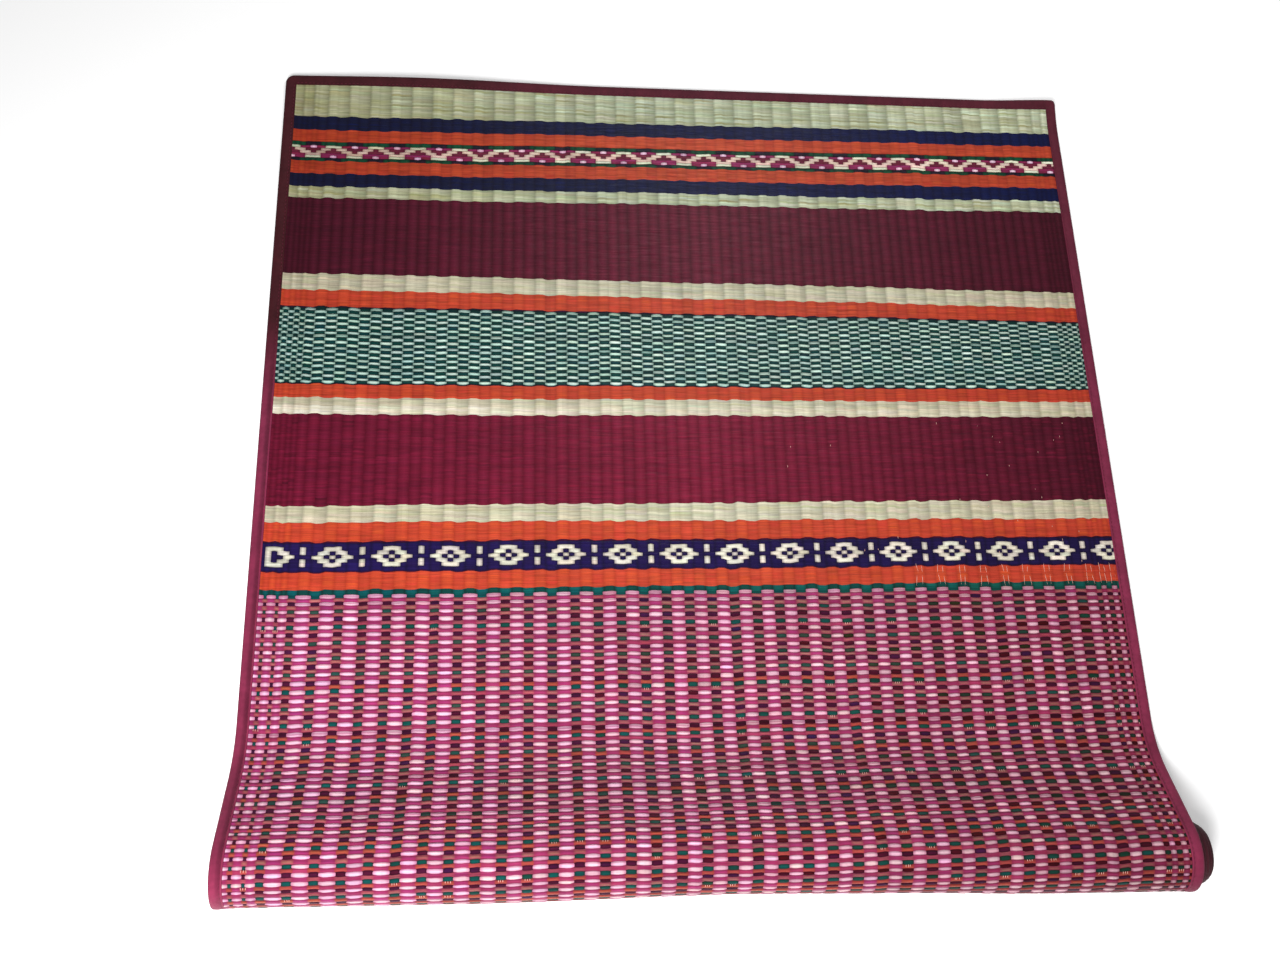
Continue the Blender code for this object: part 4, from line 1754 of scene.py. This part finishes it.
@dataclass
class EdgeBinding:
    """The cloth tape folded over the mat's edge, its turns at the roll's ends, and its stitches."""
    shape: MatShape
    finish: TapeFinish
    thread: ThreadFinish
    width: float = 10 * MM
    # Distance in from the edge, heights of the tape's underside and top over the flat mat's underside, all
    # in millimetres, and share of painted shade, which paints a highlight where it is below 0.5
    section: tuple[tuple[float, float, float, float], ...] = (
        (0.0, 1.05, 2.25, 0.6), (0.25, 0.50, 2.75, 0.55), (0.7, 0.20, 3.02, 0.5), (1.5, 0.05, 3.22, 0.46),
        (3.0, 0.0, 3.29, 0.46), (4.6, 0.0, 3.22, 0.52), (5.6, 0.0, 3.02, 0.8), (6.8, 0.0, 2.80, 0.95),
        (8.1, 0.0, 2.68, 0.95), (8.5, 0.0, 2.74, 0.7), (8.9, 0.0, 2.90, 0.38), (9.7, 0.05, 2.84, 0.38),
        (10.0, 0.15, 2.45, 0.7),
    )
    flat_top: float = 3.3 * MM
    hem_tuck: float = 0.25 * MM
    # Where the tape's two faces end in the hem, over the flat mat's underside: the upper and the lower one
    hem_levels: tuple[float, float] = (1.9 * MM, 0.9 * MM)
    # Lengths from the far edge, in metres, where the left side starts and stops to take painted shade on
    # its inner half and a painted highlight on its lip, and how fast
    painted_shade_start: float = 0.24
    painted_shade_start_run: float = 0.09
    painted_shade_stop: float = 0.70
    painted_shade_stop_run: float = 0.08
    wrinkle_height: float = 0.09 * MM
    wrinkle_run: float = 2 * MM
    # Wrinkles in radians for each metre: a long wave and the slower one that shifts it by so much, and a
    # short one of part of its height that slants inward
    long_wave: float = 310.0
    shift: float = 2.1
    shift_wave: float = 47.0
    short_wave: float = 730.0
    short_share: float = 0.7
    short_slant: float = 900.0
    short_start: float = 1.3
    step: float = 3.2 * MM
    stitch_inset: float = 8.1 * MM
    stitch_length: float = 2.7 * MM
    stitch_pitch: float = 3.7 * MM
    stitch_radius: float = 0.26 * MM
    stitch_wander: float = 0.12 * MM
    stitch_sides: int = 6
    # Share of a stitch's length, then its radius there and the rise of its middle over the tape, both as
    # shares of the thread's radius
    stitch_profile: tuple[tuple[float, float, float], ...] = (
        (0.0, 0.25, -1.0), (0.12, 0.8, -0.2), (0.35, 1.0, 0.35), (0.65, 1.0, 0.35), (0.88, 0.8, -0.2),
        (1.0, 0.25, -1.0),
    )
    last_stitch_turn: float = math.radians(115)
    seed: int = 5

    @cached_property
    def insets(self) -> Array:
        """Distances in from the edge of the tape's lines."""
        return np.array([inset for inset, *_ in self.section]) * MM

    @cached_property
    def across_lines(self) -> Array:
        """Places of the lines along the mat, left to right.

        Returns:
            The places.
        """
        half = self.shape.half_width
        inner = half - self.width
        count = round(2 * inner / self.step)
        middle = np.linspace(-inner, inner, count + 1)[1:-1]
        return np.concatenate([-half + self.insets, middle, (half - self.insets)[::-1]])

    @cached_property
    def along_lines(self) -> Array:
        """Lengths of the lines across the mat, far end first.

        Returns:
            The lengths.
        """
        count = round((self.shape.near_end - self.width) / self.step)
        rest = np.linspace(self.width, self.shape.near_end, count + 1)[1:]
        return np.concatenate([self.insets, rest])

    def heights(self, inset: Array, upper: bool) -> Array:
        """Height of the tape's upper or lower face at distances in from the edge."""
        heights = np.array([top if upper else under for _, under, top, _ in self.section]) * MM
        return np.interp(inset, self.insets, heights)

    def shades(self, across: Array, along: Array) -> Array:
        """Share of painted shade at places on the tape, which varies across it only on part of its left side,
        with painted shade on the inner half and a painted highlight on the lip.

        Args:
            across: Places across the mat.
            along: Lengths from its far edge.

        Returns:
            The share at each place, in one row.
        """
        shades = [shade for *_, shade in self.section]
        shades = np.interp(self.shape.inset(across, along), self.insets, np.array(shades))
        painted_share = ease((along - self.painted_shade_start) / self.painted_shade_start_run)
        painted_share = painted_share * (1 - ease((along - self.painted_shade_stop) / self.painted_shade_stop_run)) * (across < 0)
        return blend(0.5, shades, painted_share).ravel()

    def squeeze(self, across: Array, along: Array) -> Array:
        """Share of its flat height that the tape keeps once it is wound between turns."""
        turn = self.shape.read(across, along)[4]
        return blend(1.0, self.shape.thickness / self.flat_top, ease(turn / math.pi))

    def wrinkle(self, across: Array, along: Array, inset: Array) -> Array:
        """Small rise and fall of the tape's upper face.

        Args:
            across: Places across the mat.
            along: Lengths from its far edge.
            inset: Distances in from the edge.

        Returns:
            The rise at each place.
        """
        run = np.where(np.abs(across) > self.shape.half_width - self.width, along, across)
        long = np.sin(run * self.long_wave + self.shift * np.sin(run * self.shift_wave))
        short = np.sin(run * self.short_wave + inset * self.short_slant + self.short_start)
        waves = long + self.short_share * short
        return self.wrinkle_height * waves * ease(inset / self.wrinkle_run)

    def points(self, across: Array, along: Array, upper: bool) -> Array:
        """Points of one face of the tape.

        Args:
            across: Places across the mat.
            along: Lengths from its far edge.
            upper: Whether it is the upper face.

        Returns:
            Points, with X, Y and Z in the last column.
        """
        inset = self.shape.inset(across, along)
        height = self.heights(inset, upper)
        if upper:
            height = height + self.wrinkle(across, along, inset)
        return self.shape.place(across, along, height * self.squeeze(across, along))

    def build_tape(self) -> Piece:
        """Build the tape in one piece, with a tucked-in hem along its inner edges.

        Returns:
            The tape.
        """
        across, along = np.meshgrid(self.across_lines, self.along_lines)
        last = len(self.insets) - 1
        cell_line, cell_point = np.indices((along.shape[0] - 1, along.shape[1] - 1))
        kept = (cell_point < last) | (cell_point >= along.shape[1] - 1 - last) | (cell_line < last)
        places = np.stack([across, along], axis=-1)
        mesh = QuadMesh()
        upper = mesh.add_points(self.points(across, along, True), places)
        lower = mesh.add_points(self.points(across, along, False), places)
        mesh.add_cells(upper, kept=kept)
        mesh.add_cells(lower, flip=True, kept=kept)
        mesh.painted_shades += [self.shades(across, along)] * 2

        def border(first: int) -> tuple[Array, Array]:
            """Lines and points of the U-shaped border that starts this many lines in.

            Args:
                first: How many lines in it starts.

            Returns:
                Line and point numbers, from the near left to the near right.
            """
            lines = np.arange(first, along.shape[0])
            points = np.arange(first, along.shape[1] - first)
            right = along.shape[1] - 1 - first
            line = np.concatenate([lines[::-1], np.full(len(points) - 2, first), lines])
            point = np.concatenate([np.full(len(lines), first), points[1:-1], np.full(len(lines), right)])
            return line, point

        outer = border(0)
        mesh.add_cells(np.stack([upper[outer], lower[outer]], axis=1))
        inner = border(last)
        tucked_across = across[inner] + np.sign(across[inner]) * self.hem_tuck * (
            np.abs(across[inner]) > self.shape.half_width - self.width - self.hem_tuck)
        tucked_along = along[inner] - self.hem_tuck * (along[inner] < self.width + self.hem_tuck)
        squeeze = self.squeeze(tucked_across, tucked_along)
        for face, level, flip in zip((upper, lower), self.hem_levels, (True, False)):
            numbers = mesh.lay(self.shape, tucked_across, tucked_along, level * squeeze)
            mesh.painted_shades.append(np.ones(numbers.size))
            mesh.add_cells(np.stack([face[inner], numbers], axis=1), flip)
        for ends in (slice(0, last + 1), slice(along.shape[1] - 1 - last, None)):
            mesh.add_cells(np.stack([upper[-1, ends], lower[-1, ends]]))
        tape = mesh.make("binding_tape", self.finish.material())
        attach(tape, "root")
        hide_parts("edge_binding")
        return tape

    def stitch_path(self) -> tuple[Array, Array, Array, Array]:
        """Ends of every stitch on the uncut mat: across and along at its start, then at its end.

        Returns:
            The four, with one value for each stitch.
        """
        table = self.shape.stations[0]
        wound = float(np.interp(self.last_stitch_turn, table.turn, table.length))
        reach = self.shape.far_edge + wound
        side = self.shape.half_width - self.stitch_inset
        down = np.arange(self.stitch_inset + self.stitch_pitch / 2, reach, self.stitch_pitch)
        over = np.arange(-side + self.stitch_pitch / 2, side - self.stitch_length, self.stitch_pitch)
        level = np.full_like(over, self.stitch_inset)
        left, right = np.full_like(down, -side), np.full_like(down, side)
        starts_across = np.concatenate([left, over, right])
        starts_along = np.concatenate([down, level, down])
        ends_across = np.concatenate([left, over + self.stitch_length, right])
        ends_along = np.concatenate([down + self.stitch_length, level, down + self.stitch_length])
        return starts_across, starts_along, ends_across, ends_along

    def build_stitches(self) -> Piece:
        """Build the row of stitches as small rounded threads sunk in the tape.

        Returns:
            The stitches, in one piece.
        """
        random = np.random.default_rng(self.seed)
        from_across, from_along, to_across, to_along = self.stitch_path()
        count = len(from_across)
        wander = self.stitch_wander * random.standard_normal((2, count))
        first = self.points(from_across, from_along, True)
        second = self.points(to_across, to_along, True)
        above = 8 * MM
        higher = self.shape.place(from_across, from_along, np.full(count, above))
        direction = second - first
        length = np.linalg.norm(direction, axis=1, keepdims=True)
        direction /= length
        normal = higher - first
        normal -= (normal * direction).sum(axis=1, keepdims=True) * direction
        normal /= np.linalg.norm(normal, axis=1, keepdims=True)
        side = np.cross(direction, normal)
        stations, radii, rises = np.array(self.stitch_profile).T
        radii = self.stitch_radius * radii
        rises = self.stitch_radius * rises
        angles = np.linspace(0, math.tau, self.stitch_sides + 1)
        mesh = QuadMesh()
        middle = first[:, None] + (second - first)[:, None] * stations[None, :, None]
        slant = blend(wander[0][:, None], wander[1][:, None], stations[None, :])
        middle = middle + side[:, None] * slant[..., None] + normal[:, None] * rises[None, :, None]
        ring = (side[:, None, None] * np.cos(angles)[None, None, :, None]
                + normal[:, None, None] * np.sin(angles)[None, None, :, None])
        points = middle[:, :, None] + ring * radii[None, :, None, None]
        places = np.stack([from_across, from_along], axis=-1)[:, None, None]
        places = np.broadcast_to(places, (*points.shape[:3], 2))
        numbers = mesh.add_points(points[:, :, :-1], places[:, :, :-1])
        for stitch in numbers:
            mesh.add_cells(np.concatenate([stitch, stitch[:, :1]], axis=1))
        piece = mesh.make("binding_stitches", self.thread.material())
        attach(piece, "root")
        return piece

    def build(self) -> list[Piece]:
        """Build and dress the tape and its stitches.

        Returns:
            The two pieces.
        """
        tape = self.build_tape()
        stitches = self.build_stitches()
        flat_length = self.shape.width + 2 * self.shape.near_end
        return [tape, stitches]


@dataclass(frozen=True)
class AreaLamp:
    """One soft light: where it stands, what it faces, its size and power, and how it shows on surfaces."""
    name: str
    place: tuple[float, float, float]
    target: tuple[float, float, float]
    side: float
    power: float
    diffuse: bool = True
    glossy: bool = True


@dataclass(frozen=True)
class Studio:
    """Pale floor, soft light and the camera."""
    floor_side: float = 8.0
    floor_drop: float = 0.2 * MM
    floor_finish: FloorFinish = FloorFinish()
    sky: float = 0.20
    lamps: tuple[AreaLamp, ...] = (
        AreaLamp("near_left", (-0.29, -0.72, 0.75), (-0.1, 0.0, 0.0), 0.45, 17.5, glossy=False),
        AreaLamp("far_right", (0.47, 0.69, 0.85), (0.0, 0.1, 0.0), 0.5, 4.5, glossy=False),
        AreaLamp("overhead", (0.15, 0.72, 0.85), (0.0, 0.2, 0.0), 0.35, 2.2, diffuse=False),
    )
    camera_place: tuple[float, float, float] = (-0.1408, -0.2612, 0.8658)
    camera_turn: tuple[float, float, float] = (16.0915, -5.2737, -1.5991)
    lens: float = 29.075
    sensor: float = 36.0
    clip_start: float = 50 * MM

    def build_floor(self) -> None:
        """Lay the floor."""
        bpy.ops.mesh.primitive_plane_add(size=self.floor_side, location=(0, 0, -self.floor_drop))
        floor = bpy.context.object
        floor.name = "floor"
        floor.data.materials.append(self.floor_finish.material())

    def build_lights(self) -> None:
        """Light the sky evenly and add the soft lamps."""
        world = bpy.data.worlds.new("studio")
        world.use_nodes = True
        sky = world.node_tree.nodes["Background"]
        sky.inputs["Color"].default_value = (1, 1, 1, 1)
        sky.inputs["Strength"].default_value = self.sky
        bpy.context.scene.world = world
        for lamp in self.lamps:
            light = bpy.data.lights.new(lamp.name, "AREA")
            light.size = lamp.side
            light.energy = lamp.power
            holder = bpy.data.objects.new(lamp.name, light)
            holder.visible_diffuse = lamp.diffuse
            holder.visible_glossy = lamp.glossy
            holder.location = lamp.place
            facing = Vector(lamp.target) - Vector(lamp.place)
            holder.rotation_euler = facing.to_track_quat("-Z", "Y").to_euler()
            bpy.context.scene.collection.objects.link(holder)

    def build_camera(self) -> None:
        """Set the camera at the photograph's place."""
        camera = bpy.data.cameras.new("camera")
        camera.lens = self.lens
        camera.sensor_width = self.sensor
        camera.clip_start = self.clip_start
        holder = bpy.data.objects.new("camera", camera)
        holder.location = self.camera_place
        holder.rotation_euler = [math.radians(turn) for turn in self.camera_turn]
        bpy.context.scene.collection.objects.link(holder)
        bpy.context.scene.camera = holder

    def build(self) -> None:
        """Build the studio."""
        self.build_floor()
        self.build_lights()
        self.build_camera()
        bpy.context.scene.view_settings.view_transform = "Standard"


def report(piece: Piece) -> None:
    """Log a finished piece and its size."""
    size = " x ".join(f"{side / MM:.1f}" for side in piece.dimensions)
    LOG.info("%s: %d faces, %s mm", piece.name, len(piece.data.polygons), size)


def main() -> None:
    """Build the mat's looks and the studio, and report each piece."""
    logging.basicConfig(level=logging.INFO, format="%(message)s")
    shape = MatShape()
    pieces = WovenPanel(shape, WeaveSurface(WeaveDraft()), GrassFinish()).build()
    pieces += EdgeBinding(shape, TapeFinish(), ThreadFinish()).build()
    Studio().build()
    for piece in pieces:
        report(piece)


if __name__ == "__main__":
    main()
